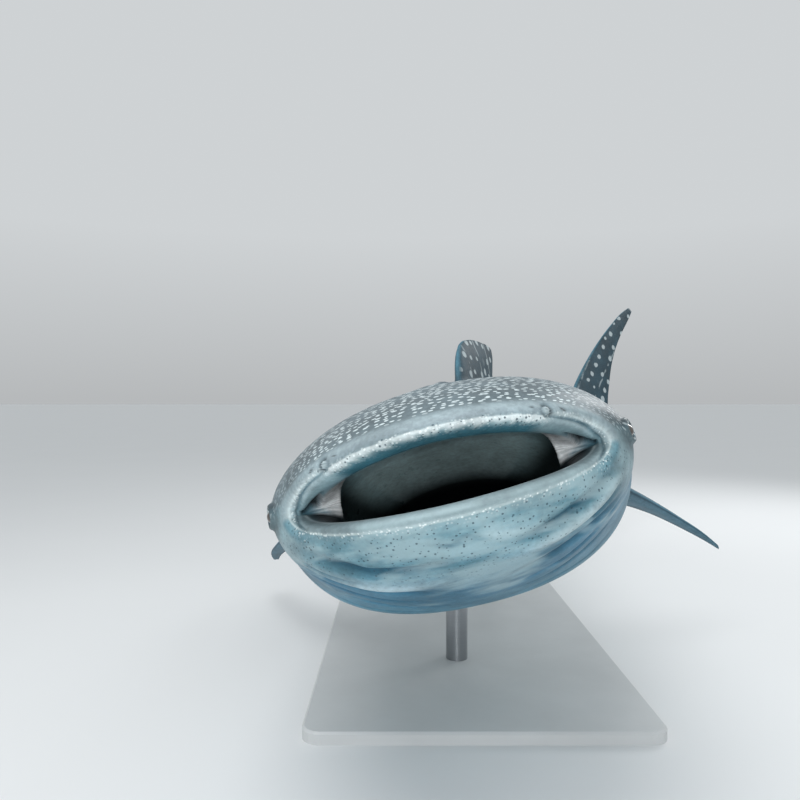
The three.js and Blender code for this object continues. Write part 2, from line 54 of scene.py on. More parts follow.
Pairs = tuple[tuple[float, float], ...]
Point = tuple[float, float, float]
Colour = tuple[float, float, float]
Zones = tuple[tuple[float, tuple[int, int, int]], ...]


def smooth_curve(pairs: Pairs, x: np.ndarray) -> np.ndarray:
    """Follows a smooth curve through pairs, which never overshoots them.

    Args:
        pairs: Places and values, with the places rising.
        x: Where the curve is read.

    Returns:
        The values at x, held at the ends.
    """
    at = np.array([p[0] for p in pairs], float)
    value = np.array([p[1] for p in pairs], float)
    step = np.diff(at)
    slope = np.diff(value) / step
    tangent = np.empty_like(value)
    tangent[0], tangent[-1] = slope[0], slope[-1]
    mean = (slope[:-1] * step[1:] + slope[1:] * step[:-1]) / (step[:-1] + step[1:])
    least = np.minimum(np.minimum(abs(slope[:-1]), abs(slope[1:])), abs(mean) / 2)
    tangent[1:-1] = (np.sign(slope[:-1]) + np.sign(slope[1:])) * least
    x = np.clip(np.asarray(x, float), at[0], at[-1])
    i = np.clip(np.searchsorted(at, x, side="left") - 1, 0, len(step) - 1)
    t = (x - at[i]) / step[i]
    bend = step[i] * (tangent[i] * t * (1 - t) ** 2 - tangent[i + 1] * t * t * (1 - t))
    return value[i] + (value[i + 1] - value[i]) * t * t * (3 - 2 * t) + bend


def ramp(low: float, high: float, x: np.ndarray) -> np.ndarray:
    """Returns a soft step from 0 at low to 1 at high, or the other way when low is the greater."""
    t = np.clip((x - low) / (high - low), 0, 1)
    return t * t * (3 - 2 * t)


def srgb(red: int, green: int, blue: int) -> np.ndarray:
    """Returns a screen colour of 0 to 255 as linear values."""
    c = np.array([red, green, blue]) / 255
    return np.where(c <= 0.04045, c / 12.92, ((c + 0.055) / 1.055) ** 2.4)


def paint(red: int, green: int, blue: int) -> Colour:
    """Returns a screen colour of 0 to 255 as the linear colour of a finish."""
    return tuple(float(c) for c in srgb(red, green, blue))


def fold(angle: np.ndarray) -> np.ndarray:
    """Returns angles round the rings with those of the right side read as on the left."""
    return np.where(angle > 90, 180 - angle, angle)


class Side(Enum):
    """The two sides of the animal."""

    LEFT = 1
    RIGHT = -1

    def turned(self, angle: np.ndarray) -> np.ndarray:
        """Returns an angle of the left side as it is on this side."""
        return angle if self is Side.LEFT else 180 - angle


class FinKind(Enum):
    """The kinds of fins, by how they are coloured."""

    MEDIAN = "median"
    PELVIC = "pelvic"
    PECTORAL = "pectoral"


@dataclass(frozen=True)
class BodyAxis:
    """The bent line that the body follows.

    Attributes:
        snout: Where the axis starts, level with the eyes.
        yaw: Distance behind the snout and turn to the left in degrees.
        sink: Distance behind the snout and fall of the axis in degrees.
        roll: Distance behind the snout and bank in degrees, with the left side up.
        step: Length of a step of the walk along the axis.
        end: Where the walk ends.
    """

    snout: Point = (-0.222, -2.088, 1.077)
    yaw: Pairs = ((0, 8.1), (1.1, 5.5), (1.6, 4.2), (2.2, 8), (3.0, 25), (3.6, 28), (4.5, 36), (5.1, 52),
                  (5.9, 61))
    sink: Pairs = ((0, 12.7), (0.8, 11), (1.2, 6), (1.6, 0), (2.2, -3), (3.0, -2.5), (4.0, -1.5), (4.8, 0))
    roll: Pairs = ((0, 14.4), (1.0, 14.4), (1.7, 12.5), (4.8, 12))
    step: float = 0.01
    end: float = 6.9

    def frames(self) -> tuple[np.ndarray, ...]:
        """Walks along the axis.

        Returns:
            The distances of the steps, and at each the point and the directions left, back and up.
        """
        s = np.arange(0, self.end + self.step / 2, self.step)
        yaw, sink, roll = (np.radians(smooth_curve(c, s)) for c in (self.yaw, self.sink, self.roll))
        back = np.stack([np.sin(yaw) * np.cos(sink), np.cos(yaw) * np.cos(sink), -np.sin(sink)], 1)
        level = np.stack([np.cos(yaw), -np.sin(yaw), 0 * yaw], 1)
        upright = np.cross(-back, level)
        left = level * np.cos(roll)[:, None] + upright * np.sin(roll)[:, None]
        up = upright * np.cos(roll)[:, None] - level * np.sin(roll)[:, None]
        at = np.array(self.snout) + np.concatenate([np.zeros((1, 3)), np.cumsum(back[:-1] * self.step, 0)])
        return s, at, left, back, up

    def place(self, points: np.ndarray) -> np.ndarray:
        """Bends points of the straight animal into the pose.

        Args:
            points: Body coordinates, one row each.

        Returns:
            The same points in the frame of the model.
        """
        s, at, left, back, up = self.frames()
        where = points[:, 1]

        def read(table: np.ndarray) -> np.ndarray:
            """Returns a table of the walk read at each point's distance."""
            return np.stack([np.interp(where, s, table[:, k]) for k in range(3)], 1)

        def unit(v: np.ndarray) -> np.ndarray:
            """Returns vectors with their length set to one."""
            return v / np.linalg.norm(v, axis=1, keepdims=True)

        ahead = np.minimum(where, 0)[:, None]
        return (read(at) + unit(read(left)) * points[:, :1] + unit(read(up)) * points[:, 2:]
                + unit(read(back)) * ahead)


@dataclass(frozen=True)
class Ring:
    """One ring of the skin.

    Attributes:
        name: What the ring runs over.
        back: Distance behind the snout at the top, the sides and the bottom.
        half: Half width.
        rise: Height above the middle.
        drop: Depth below the middle.
        mid: Height of the middle over the eye line.
        full: Fullness of the upper and lower corners, where 2 is an ellipse.
        rows: Mesh rows to the next ring.
    """

    name: str
    back: Point
    half: float
    rise: float
    drop: float
    mid: float
    full: tuple[float, float]
    rows: int


@dataclass(frozen=True)
class Ridge:
    """A ridge along the body, at an angle round the section, with its height along the body."""

    angle: float
    height: Pairs


@dataclass(frozen=True)
class Crease:
    """A soft groove, or with a negative depth a soft fold, drawn along the skin.

    Attributes:
        path: Ring numbers and angles round the ring, where 0 is the left side and 90 the top.
        width: Half width of the groove.
        depth: Depth of the groove.
        both: Whether the right side has the same.
    """

    path: Pairs
    width: float
    depth: float
    both: bool = True


RINGS = (
    Ring("throat_end", (0.84, 0.84, 0.84), 0.06, 0.03, 0.04, -0.09, (2, 2), 3),
    Ring("throat", (0.8, 0.8, 0.8), 0.19, 0.08, 0.1, -0.09, (2, 2), 7),
    Ring("pharynx", (0.62, 0.62, 0.62), 0.3, 0.13, 0.17, -0.06, (2.2, 2.2), 9),
    Ring("palate", (0.36, 0.4, 0.34), 0.33, 0.14, 0.23, -0.03, (2.3, 2.3), 14),
    Ring("web", (0.17, 0.33, 0.15), 0.292, 0.105, 0.17, -0.015, (2.3, 2.6), 18),
    Ring("lip_inner", (0.06, 0.312, 0.08), 0.38, 0.054, 0.088, -0.01, (1.4, 2), 9),
    Ring("lip_crest", (0.0, 0.285, 0.052), 0.408, 0.072, 0.108, -0.01, (1.7, 2), 7),
    Ring("lip_outer", (0.008, 0.285, 0.07), 0.425, 0.088, 0.126, -0.01, (1.9, 2.05), 13),
    Ring("snout", (0.06, 0.31, 0.13), 0.455, 0.13, 0.19, -0.008, (2, 2.2), 20),
    Ring("brow", (0.2, 0.36, 0.26), 0.488, 0.196, 0.262, -0.005, (2, 2.05), 26),
    Ring("temple", (0.42, 0.46, 0.48), 0.506, 0.265, 0.325, -0.005, (2.1, 2), 28),
    Ring("cheek", (0.78, 0.78, 0.8), 0.547, 0.352, 0.355, -0.015, (2.2, 2.35), 40),
    Ring("gills", (1.15, 1.15, 1.15), 0.555, 0.4, 0.368, -0.01, (2.2, 2.5), 42),
    Ring("shoulder", (1.6, 1.6, 1.6), 0.535, 0.43, 0.41, -0.01, (2.1, 2.2), 16),
    Ring("chest", (2.1, 2.1, 2.1), 0.49, 0.44, 0.43, 0.0, (2.1, 2.1), 18),
    Ring("back", (2.7, 2.7, 2.7), 0.405, 0.405, 0.375, 0.005, (2, 2), 18),
    Ring("loin", (3.3, 3.3, 3.3), 0.305, 0.315, 0.295, 0.02, (2, 2), 20),
    Ring("rump", (3.95, 3.95, 3.95), 0.2, 0.205, 0.2, 0.045, (2, 2), 20),
    Ring("stalk", (4.5, 4.5, 4.5), 0.115, 0.125, 0.12, 0.06, (2, 2), 14),
    Ring("tail_root", (4.8, 4.8, 4.8), 0.072, 0.108, 0.104, 0.065, (2, 2), 8),
    Ring("tail_end", (4.96, 4.96, 4.96), 0.034, 0.06, 0.06, 0.07, (2, 2), 0),
)
RING_NAMES = [ring.name for ring in RINGS]
LIP_OUTER = RING_NAMES.index("lip_outer")

RIDGES = (
    Ridge(12, ((0.9, 0), (1.5, 0.016), (3.6, 0.02), (4.1, 0.034), (4.45, 0.06), (4.75, 0.058), (4.94, 0.01))),
    Ridge(36, ((0.8, 0), (1.3, 0.018), (3.4, 0.016), (4.3, 0))),
    Ridge(60, ((0.7, 0), (1.2, 0.016), (2.9, 0.013), (3.6, 0))),
    Ridge(90, ((0.4, 0), (0.9, 0.014), (2.5, 0.016), (3.0, 0.008), (3.5, 0.012), (4.3, 0))),
)
RIDGE_SPREAD = 4.0
SIDE_BLEND = 2.6


class SkinRings:
    """The surface through the rings, read by knot distance along it and angle round it."""

    def __init__(self, rings: tuple[Ring, ...] = RINGS) -> None:
        """Lays out the knots of the rings.

        Args:
            rings: The rings, from the end of the throat out over the lips to the tail.
        """
        self.rings = rings
        steps = [math.sqrt((b.back[0] - a.back[0]) ** 2 + (b.half - a.half) ** 2 + (b.rise - a.rise) ** 2
                           + (b.drop - a.drop) ** 2) for a, b in zip(rings, rings[1:])]
        self.knots = np.concatenate([[0], np.cumsum(steps)])

    def read(self, pick: Callable[[Ring], float], along: np.ndarray) -> np.ndarray:
        """Returns one size of the rings as a smooth curve of knot distance."""
        return smooth_curve(tuple(zip(self.knots, map(pick, self.rings))), along)

    def knot_of(self, number: np.ndarray) -> np.ndarray:
        """Returns the knot distance of a ring number with a fraction."""
        return np.interp(number, np.arange(len(self.knots)), self.knots)

    def ridge_lift(self, angle: np.ndarray, back: np.ndarray) -> np.ndarray:
        """Returns how far the ridges lift the skin."""
        gaps = [(fold(angle) - ridge.angle) / RIDGE_SPREAD for ridge in RIDGES]
        return sum(smooth_curve(ridge.height, back) * np.exp(-(gap ** 2)) for ridge, gap in zip(RIDGES, gaps))

    def points(self, along: np.ndarray, angle: np.ndarray) -> np.ndarray:
        """Finds points of the skin.

        Args:
            along: Knot distances.
            angle: Angles round the rings, where 0 is the left side, 90 the top and -90 the bottom.

        Returns:
            Body coordinates, with the three of each point last.
        """
        c, q = np.cos(np.radians(angle)), np.sin(np.radians(angle))
        top = q >= 0
        full = np.where(top, self.read(lambda r: r.full[0], along), self.read(lambda r: r.full[1], along))
        reach = np.sign(c) * abs(c) ** (2 / full)
        depth = np.sign(q) * abs(q) ** (2 / full)
        middle = np.where(top, self.read(lambda r: r.back[0], along), self.read(lambda r: r.back[2], along))
        back = middle + (self.read(lambda r: r.back[1], along) - middle) * abs(reach) ** SIDE_BLEND
        lift = np.where(along > self.knots[LIP_OUTER], self.ridge_lift(angle, back), 0)
        tall = np.where(top, self.read(lambda r: r.rise, along), self.read(lambda r: r.drop, along))
        half = self.read(lambda r: r.half, along)
        mid = self.read(lambda r: r.mid, along)
        return np.stack([(half + lift) * reach, back, mid + (tall + lift) * depth], -1)

    def spot(self, number: float, angle: float, side: Side) -> np.ndarray:
        """Returns the point of the skin at a ring number and an angle, on one side."""
        return self.points(self.knot_of(np.array(number)), np.array(side.turned(angle)))

    def path(self, pairs: Pairs, side: Side, count: int) -> np.ndarray:
        """Follows a path on the skin.

        Args:
            pairs: Ring numbers and angles.
            side: The side of the path.
            count: How many points are laid.

        Returns:
            Points of the skin along the path.
        """
        t = np.linspace(0, len(pairs) - 1, count)
        number = smooth_curve(tuple((i, p[0]) for i, p in enumerate(pairs)), t)
        angle = smooth_curve(tuple((i, p[1]) for i, p in enumerate(pairs)), t)
        return self.points(self.knot_of(number), side.turned(angle))


def only(obj: bpy.types.Object) -> None:
    """Selects one object and makes it active."""
    bpy.ops.object.select_all(action="DESELECT")
    obj.select_set(True)
    bpy.context.view_layer.objects.active = obj


def rolled_grid(name: str, points: np.ndarray) -> bpy.types.Object:
    """Rolls a grid into a closed tube through rows of points and closes its ends.

    Args:
        name: Name of the new piece.
        points: Rows of points, each row running once round the tube.

    Returns:
        The new piece, with outward faces.
    """
    rows, columns = points.shape[:2]
    bpy.ops.object.select_all(action="DESELECT")
    bpy.ops.mesh.primitive_grid_add(x_subdivisions=columns, y_subdivisions=rows - 1, size=2)
    obj = bpy.context.object
    obj.name = obj.data.name = name
    flat = np.empty(len(obj.data.vertices) * 3)
    obj.data.vertices.foreach_get("co", flat)
    flat = flat.reshape(-1, 3)
    column = np.rint((flat[:, 0] + 1) / 2 * columns).astype(int) % columns
    row = np.rint((flat[:, 1] + 1) / 2 * (rows - 1)).astype(int)
    obj.data.vertices.foreach_set("co", points[row, column].ravel())
    obj.data.update()
    only(obj)
    bpy.ops.object.mode_set(mode="EDIT")
    bpy.ops.mesh.select_all(action="SELECT")
    bpy.ops.mesh.remove_doubles(threshold=1e-6)
    bpy.ops.mesh.select_all(action="SELECT")
    bpy.ops.mesh.fill_holes(sides=0)
    bpy.ops.mesh.select_all(action="SELECT")
    bpy.ops.mesh.normals_make_consistent(inside=False)
    bpy.ops.object.mode_set(mode="OBJECT")
    return obj


def vertices_of(obj: bpy.types.Object) -> np.ndarray:
    """Returns the corners of a mesh, one row each."""
    flat = np.empty(len(obj.data.vertices) * 3)
    obj.data.vertices.foreach_get("co", flat)
    return flat.reshape(-1, 3)


def search_tree(points: np.ndarray) -> KDTree:
    """Makes a tree that finds the nearest of many points.

    Args:
        points: The points, one row each.

    Returns:
        The tree, which answers with row numbers.
    """
    tree = KDTree(len(points))
    for row, point in enumerate(points):
        tree.insert(point, row)
    tree.balance()
    return tree


def store(obj: bpy.types.Object, name: str, kind: str, slot: str, values: np.ndarray) -> None:
    """Stores values on the corners of a mesh.

    Args:
        obj: The piece.
        name: Name of the attribute.
        kind: Its type.
        slot: Name of the value within that type.
        values: The values, one row for each corner.
    """
    layer = obj.data.attributes.new(name, kind, "POINT")
    layer.data.foreach_set(slot, np.ascontiguousarray(values, dtype=np.float32).ravel())


@dataclass(frozen=True)
class FinSheet:
    """A laid-out fin as a grid of points.

    Attributes:
        points: Body coordinates.
        height: Height over the body, negative inside it.
        out: Distance out from the root.
        share: Share of the chord behind the leading edge.
        along: Place along the chord.
        face: The side of the fin, 1 or -1, and 0 on the leading edge.
    """

    points: np.ndarray
    height: np.ndarray
    out: np.ndarray
    share: np.ndarray
    along: np.ndarray
    face: np.ndarray


FIN_SECTION = ((0, 0), (0.02, 0.36), (0.06, 0.6), (0.17, 0.9), (0.4, 1), (0.7, 0.56), (1, 0.06))
TIP_CROWDING = 1.3
ROOT_FLARE = 0.8


@dataclass(frozen=True)
class Fin:
    """A fin as a thin closed body in body coordinates.

    Attributes:
        name: Name of the fin.
        root: Side, back and height where the leading edge starts.
        lift: Angle of the span above the side.
        plan: Distance out, leading edge and trailing edge, both measured backwards.
        thick: Distance out and greatest thickness.
        kind: How it is coloured.
        lean: Angle by which the span runs back.
        pitch: Angle by which the chord falls towards the rear.
        curl: How far the tip bends along the fin's normal.
        upright: Whether the chord turns with the lean, as in the lobes of the tail.
        fillet: Radius of the soft root, or 0 where the fin grows from inside the body.
        side: The side it stands on.
        dense: Distance out up to which the rows of the root lie.
        root_rows: Mesh rows of the root.
        rows: Mesh rows from there to the tip.
        chord_points: Mesh points from the leading to the trailing edge on one face.
        edge: Least thickness.
    """

    name: str
    root: Point
    lift: float
    plan: tuple[Point, ...]
    thick: Pairs
    kind: FinKind = FinKind.MEDIAN
    lean: float = 0.0
    pitch: float = 0.0
    curl: float = 0.0
    upright: bool = False
    fillet: float = 0.0
    side: Side = Side.LEFT
    dense: float = 0.14
    root_rows: int = 20
    rows: int = 24
    chord_points: int = 16
    edge: float = 0.006

    def axes(self) -> tuple[np.ndarray, np.ndarray, np.ndarray]:
        """Turns the fin's own directions by its angles.

        Returns:
            The directions of the span, the chord and the normal.
        """
        lift, lean, pitch = (math.radians(a) for a in (self.lift, self.lean, self.pitch))
        m = self.side.value
        level = math.cos(lean)
        span = np.array([math.cos(lift) * level * m, math.sin(lean), math.sin(lift) * level])
        if self.upright:
            chord = np.array([0, level, -math.sin(lift) * math.sin(lean)])
        else:
            chord = np.array([0, math.cos(pitch), -math.sin(pitch)])
        normal = np.cross(span, chord)
        return span, chord, normal / np.linalg.norm(normal) * m

    def section(self) -> tuple[np.ndarray, np.ndarray]:
        """Returns the places round the section, as share of the chord and signed share of the thickness."""
        share = (1 - np.cos(np.linspace(0, math.pi, self.chord_points))) / 2
        swell = smooth_curve(FIN_SECTION, share)
        return np.concatenate([share, share[::-1][1:-1]]), np.concatenate([swell, -swell[::-1][1:-1]])

    def outs(self) -> np.ndarray:
        """Returns the distances out of the rows, closer near the root and the tip."""
        first, tip = self.plan[0][0], self.plan[-1][0]
        spread = (1 - (1 - np.linspace(0, 1, self.rows)) ** TIP_CROWDING)[1:]
        return np.concatenate([np.linspace(first, self.dense, self.root_rows),
                               self.dense + (tip - self.dense) * spread])

    @staticmethod
    def height_over(body: BVHTree, grid: np.ndarray) -> np.ndarray:
        """Measures points against the body.

        Args:
            body: The straight body.
            grid: The points.

        Returns:
            The height of every point over the body, negative inside it.
        """
        height = np.empty(grid.shape[:2])
        for index in np.ndindex(height.shape):
            spot, facing, _, far = body.find_nearest(Vector(grid[index]))
            height[index] = far if (Vector(grid[index]) - spot).dot(facing) > 0 else -far
        return height

    def flared(self, grid: np.ndarray, height: np.ndarray) -> np.ndarray:
        """Flares the root out onto the body.

        Args:
            grid: The points of the fin.
            height: Their height over the body.

        Returns:
            The points with the soft root.
        """
        _, chord, normal = self.axes()
        share, swell = self.section()
        left = np.clip(1 - height / self.fillet, 0, 1)
        spread = self.fillet * (1 - np.sqrt(1 - left ** 2)) * ROOT_FLARE
        ends = np.abs(2 * share - 1) ** 3 * np.sign(2 * share - 1)
        faces = np.sign(swell) * np.sqrt(np.clip(1 - ends ** 2, 0, 1))
        push = np.outer(ends, chord) + np.outer(faces, normal)
        return grid + push[None] * spread[..., None]

    def sheet(self, body: BVHTree) -> FinSheet:
        """Lays out the fin, with a soft root that flares out onto the body.

        Args:
            body: The straight body that the fin grows from.

        Returns:
            The laid-out fin.
        """
        span, chord, normal = self.axes()
        root = np.array([self.root[0] * self.side.value, self.root[1], self.root[2]])
        share, swell = self.section()
        outs, tip = self.outs(), self.plan[-1][0]
        lead = tuple((out, front) for out, front, _ in self.plan)
        trail = tuple((out, rear) for out, _, rear in self.plan)
        rows, alongs = [], []
        for out in outs:
            along = smooth_curve(lead, out) + (smooth_curve(trail, out) - smooth_curve(lead, out)) * share
            thick = float(smooth_curve(self.thick, out))
            off = np.sign(swell) * np.maximum(abs(swell) * thick, self.edge) / 2
            bend = self.curl * (max(out, 0) / tip) ** 2
            rows.append(root + span * out + np.outer(along, chord) + np.outer(off + bend, normal))
            alongs.append(along)
        grid = np.array(rows)
        height = self.height_over(body, grid)
        return FinSheet(self.flared(grid, height) if self.fillet else grid, height,
                        np.repeat(outs[:, None], len(share), 1), np.broadcast_to(share, height.shape),
                        np.array(alongs), np.broadcast_to(np.sign(swell), height.shape))


DORSAL_PLAN = ((-0.13, -0.15, 0.72), (0, -0.06, 0.7), (0.09, 0.02, 0.694), (0.18, 0.072, 0.718),
               (0.26, 0.122, 0.764), (0.325, 0.18, 0.8), (0.372, 0.25, 0.806), (0.398, 0.336, 0.772),
               (0.41, 0.42, 0.7))
SECOND_DORSAL_PLAN = ((-0.09, -0.06, 0.33), (0, -0.01, 0.32), (0.07, 0.06, 0.3), (0.15, 0.13, 0.285),
                      (0.205, 0.19, 0.285), (0.222, 0.222, 0.275))
ANAL_PLAN = ((-0.09, -0.06, 0.32), (0, -0.01, 0.31), (0.07, 0.06, 0.29), (0.15, 0.13, 0.275),
             (0.2, 0.185, 0.275), (0.216, 0.215, 0.265))
PELVIC_PLAN = ((-0.11, -0.06, 0.33), (0, -0.01, 0.315), (0.09, 0.06, 0.29), (0.18, 0.135, 0.27),
               (0.235, 0.195, 0.265), (0.252, 0.225, 0.255))
PECTORAL_PLAN = ((-0.19, -0.12, 0.56), (0, -0.03, 0.51), (0.12, 0.06, 0.47), (0.3, 0.2, 0.48),
                 (0.5, 0.372, 0.56), (0.7, 0.56, 0.69), (0.835, 0.704, 0.786), (0.88, 0.776, 0.824))
UPPER_LOBE_PLAN = ((-0.16, -0.02, 0.23), (0, 0, 0.34), (0.15, -0.006, 0.47), (0.32, -0.006, 0.48),
                   (0.6, 0.006, 0.37), (0.9, 0.03, 0.262), (1.2, 0.07, 0.214), (1.42, 0.112, 0.206),
                   (1.52, 0.146, 0.196))
LOWER_LOBE_PLAN = ((-0.12, 0, 0.26), (0, 0, 0.33), (0.15, 0.02, 0.35), (0.35, 0.056, 0.29),
                   (0.55, 0.104, 0.235), (0.68, 0.146, 0.212), (0.74, 0.18, 0.204))
PECTORAL_THICK = ((-0.19, 0.15), (0.08, 0.096), (0.5, 0.058), (0.88, 0.018))
PELVIC_THICK = ((-0.11, 0.066), (0.06, 0.044), (0.252, 0.016))

FINS = (
    Fin("first_dorsal_fin", (0, 2.72, 0.33), 90, DORSAL_PLAN,
        ((-0.13, 0.15), (0.06, 0.098), (0.28, 0.076), (0.41, 0.026)), pitch=4, fillet=0.06),
    Fin("second_dorsal_fin", (0, 3.86, 0.19), 90, SECOND_DORSAL_PLAN,
        ((-0.09, 0.07), (0.06, 0.044), (0.222, 0.016)), fillet=0.035, dense=0.08),
    Fin("anal_fin", (0, 3.93, -0.12), -90, ANAL_PLAN,
        ((-0.09, 0.07), (0.06, 0.042), (0.216, 0.016)), fillet=0.035, dense=0.08),
    Fin("pelvic_fin_left", (0.15, 3.02, -0.21), -40, PELVIC_PLAN, PELVIC_THICK, FinKind.PELVIC,
        pitch=5, fillet=0.035, dense=0.08),
    Fin("pelvic_fin_right", (0.15, 3.02, -0.21), -36, PELVIC_PLAN, PELVIC_THICK, FinKind.PELVIC,
        pitch=5, fillet=0.035, dense=0.08, side=Side.RIGHT),
    Fin("pectoral_fin_left", (0.44, 1.44, 0.02), -9, PECTORAL_PLAN, PECTORAL_THICK, FinKind.PECTORAL,
        lean=36, pitch=31, curl=-0.235, fillet=0.06, dense=0.16, rows=30),
    Fin("pectoral_fin_right", (0.44, 1.44, 0.02), 16, PECTORAL_PLAN, PECTORAL_THICK, FinKind.PECTORAL,
        lean=34, pitch=31, curl=-0.235, fillet=0.06, dense=0.16, rows=30, side=Side.RIGHT),
    Fin("upper_lobe", (0, 4.7, 0.13), 90, UPPER_LOBE_PLAN,
        ((-0.16, 0.15), (0.06, 0.112), (0.5, 0.066), (1.0, 0.04), (1.52, 0.016)),
        lean=42, upright=True, rows=36),
    Fin("lower_lobe", (0, 4.69, 0), -90, LOWER_LOBE_PLAN,
        ((-0.12, 0.12), (0.06, 0.092), (0.4, 0.05), (0.74, 0.016)), lean=34, upright=True, rows=26),
)

# The furrow beside the mouth, as angles and ring numbers.
FURROW = ((48, 6.3), (40, 6.36), (34, 6.3), (28, 6.12), (20, 5.84), (8, 5.66), (-3, 5.66), (-12, 5.9),
          (-22, 6.4), (-32, 6.9))
CREASES = (
    Crease(tuple((ring, angle) for angle, ring in FURROW[:7]), 0.005, 0.013),
    Crease(tuple((ring, angle) for angle, ring in FURROW[6:]), 0.0045, 0.008),
    Crease(((6.0, 38), (5.85, 30), (5.6, 20), (5.5, 9)), 0.012, -0.006),
    Crease(((5.15, 33), (4.95, 29), (4.8, 22), (4.7, 13), (4.65, 8)), 0.005, 0.007),
    Crease(((4.35, -8), (4.6, -3), (5.1, -1), (5.45, -2)), 0.007, 0.009),
    Crease(((4.3, 24), (4.1, 14), (4.0, 2), (4.0, -8)), 0.006, -0.004),
    Crease(((8.0, -142), (8.2, -126), (8.4, -116), (8.4, -104), (8.3, -94)), 0.02, 0.016, False),
    Crease(((8.6, -146), (8.85, -128), (9.0, -114), (8.95, -98)), 0.03, -0.012, False),
    Crease(((7.6, -98), (7.9, -92), (7.7, -88), (8.0, -84)), 0.012, 0.009, False),
    Crease(((7.45, -84), (7.75, -80), (8.0, -70)), 0.02, -0.007, False),
    Crease(((8.2, -74), (8.1, -60), (7.9, -42), (7.8, -24)), 0.017, 0.014, False),
    Crease(((8.6, -76), (8.5, -62), (8.25, -44), (8.1, -28)), 0.026, -0.012, False),
    Crease(((9.3, -78), (9.2, -66), (9.1, -50), (9.1, -34)), 0.014, 0.012),
    Crease(((9.7, -74), (9.7, -62), (9.5, -46), (9.4, -32)), 0.012, 0.01),
    Crease(((10.1, -80), (10.15, -66), (10.1, -50), (10.0, -38)), 0.013, 0.011),
    Crease(((10.5, -76), (10.55, -64), (10.6, -52), (10.5, -40)), 0.012, 0.009),
    Crease(((10.9, -80), (10.95, -66), (10.9, -48)), 0.013, 0.008),
    Crease(((8.85, -60), (8.75, -46), (8.6, -32)), 0.012, 0.009),
)


# Screen colours of the skin by ring number. Inside the mouth the near-black rings of the throat are the dark
# filter pads and painted shade, and the pale palate rings from 1.6 to 3.0 are painted light on the shaded
# roof of the mouth.
UPPER_TONES = ((0, (7, 11, 14)), (1.25, (9, 14, 17)), (1.6, (150, 172, 175)), (2.3, (192, 222, 225)),
               (3.0, (172, 204, 211)), (4.2, (100, 150, 162)), (4.9, (56, 102, 116)),
               (5.45, (62, 108, 122)), (5.7, (140, 164, 170)), (5.92, (206, 218, 220)),
               (6.26, (204, 216, 218)), (6.48, (134, 152, 158)), (6.9, (140, 157, 164)),
               (7.3, (152, 169, 175)), (7.6, (144, 161, 167)), (20, (142, 160, 166)))
# At the corners the palate rings are painted light as well, and the dark rows at 3.86, just before the pale
# web, are painted shade at the edge of the mouth's opening.
CORNER_TONES = ((0, (7, 11, 14)), (1.3, (9, 14, 17)), (1.7, (140, 166, 170)), (2.3, (182, 214, 218)),
                (3.0, (156, 192, 200)), (3.6, (120, 148, 156)), (3.86, (44, 58, 64)),
                (4.02, (228, 232, 233)), (4.6, (228, 232, 234)), (4.9, (120, 150, 160)),
                (5.4, (134, 162, 170)), (6.0, (152, 172, 178)), (6.35, (164, 182, 187)),
                (6.55, (196, 210, 212)), (6.85, (182, 197, 200)), (7.3, (142, 160, 166)),
                (20, (140, 158, 165)))
# Below, the near-black and dark rings up to 4.95 on the floor of the mouth are the dark filter pads and
# painted shade.
LOWER_TONES = ((0, (7, 11, 14)), (3.6, (12, 18, 22)), (4.7, (20, 28, 33)), (4.95, (70, 86, 92)),
               (5.15, (186, 200, 203)), (5.4, (134, 151, 156)), (6.5, (130, 149, 154)),
               (6.8, (180, 196, 198)), (7.0, (120, 151, 160)), (7.5, (98, 139, 152)), (20, (98, 139, 152)))
BACK_TONES = ((7.4, (140, 158, 164)), (7.7, (106, 122, 128)), (9, (88, 104, 111)), (12, (72, 92, 102)),
              (16, (60, 84, 96)), (20, (44, 74, 88)))
# The darker, bluer belly rings from 8.3 to 10.5, under the chin, are painted shade; further back the belly is
# pale.
BELLY_TONES = ((7, (100, 142, 155)), (8.3, (92, 136, 151)), (9.5, (62, 112, 137)), (10.5, (76, 126, 148)),
               (12, (156, 186, 195)), (14, (186, 205, 209)), (20, (180, 200, 205)))
# Ring numbers and angles of the sense pits.
SENSE_PITS = ((7.26, 45.5), (7.2, 44.2), (7.1, 36.5), (7.2, 57))
# The inner edge of the pocket, as a ring number by angle.
POCKET_EDGE = ((-2, 5.05), (0.5, 4.95), (2, 4.78), (4, 4.69), (14, 4.67), (22, 4.77), (31, 5.0))
# The angle where back and belly meet, and how softly, by ring number.
SHADE_EDGE = ((7, 12), (8, 8), (9, 0), (10, -8), (11, -16), (13, -26), (16, -32), (18, -44), (20, -70))
SHADE_SOFTNESS = ((7, 5), (9, 8), (12, 7), (20, 9))
# The size of a cell of the spot pattern and its length as a share of it, by ring number.
SPOT_CELL = ((0, 0.022), (8.5, 0.023), (9.5, 0.028), (10.5, 0.041), (11.5, 0.066), (13, 0.105), (15, 0.13),
             (17, 0.115), (20, 0.09))
SPOT_LENGTH = ((0, 0.52), (9.5, 0.56), (11.5, 1.0), (20, 1.0))
# Painted shade in the gill slits, the nostril grooves, the pocket and round the eyes, and the colour of the
# sense pits.
PIT_AND_SHADE_TONE = srgb(24, 34, 40)
KNOB_TONE = srgb(188, 203, 206)
# Painted shade in the creases, darker and bluer.
CREASE_SHADE_TONE = srgb(96, 150, 168)
# Painted highlight on the raised folds of the chin.
FOLD_HIGHLIGHT_TONE = srgb(214, 230, 234)
CHEEK_TONE = srgb(142, 163, 168)
PECTORAL_TONE = srgb(30, 58, 74)
FIN_TONE = srgb(34, 62, 74)
FIN_EDGE_TONE = srgb(84, 128, 146)
# The underside of a paired fin: its pale grey painted darker as shade.
FIN_UNDERSIDE_AND_SHADE_TONE = srgb(84, 118, 134)

EYE_PLACE = (0.472, 0.362, 0.002)


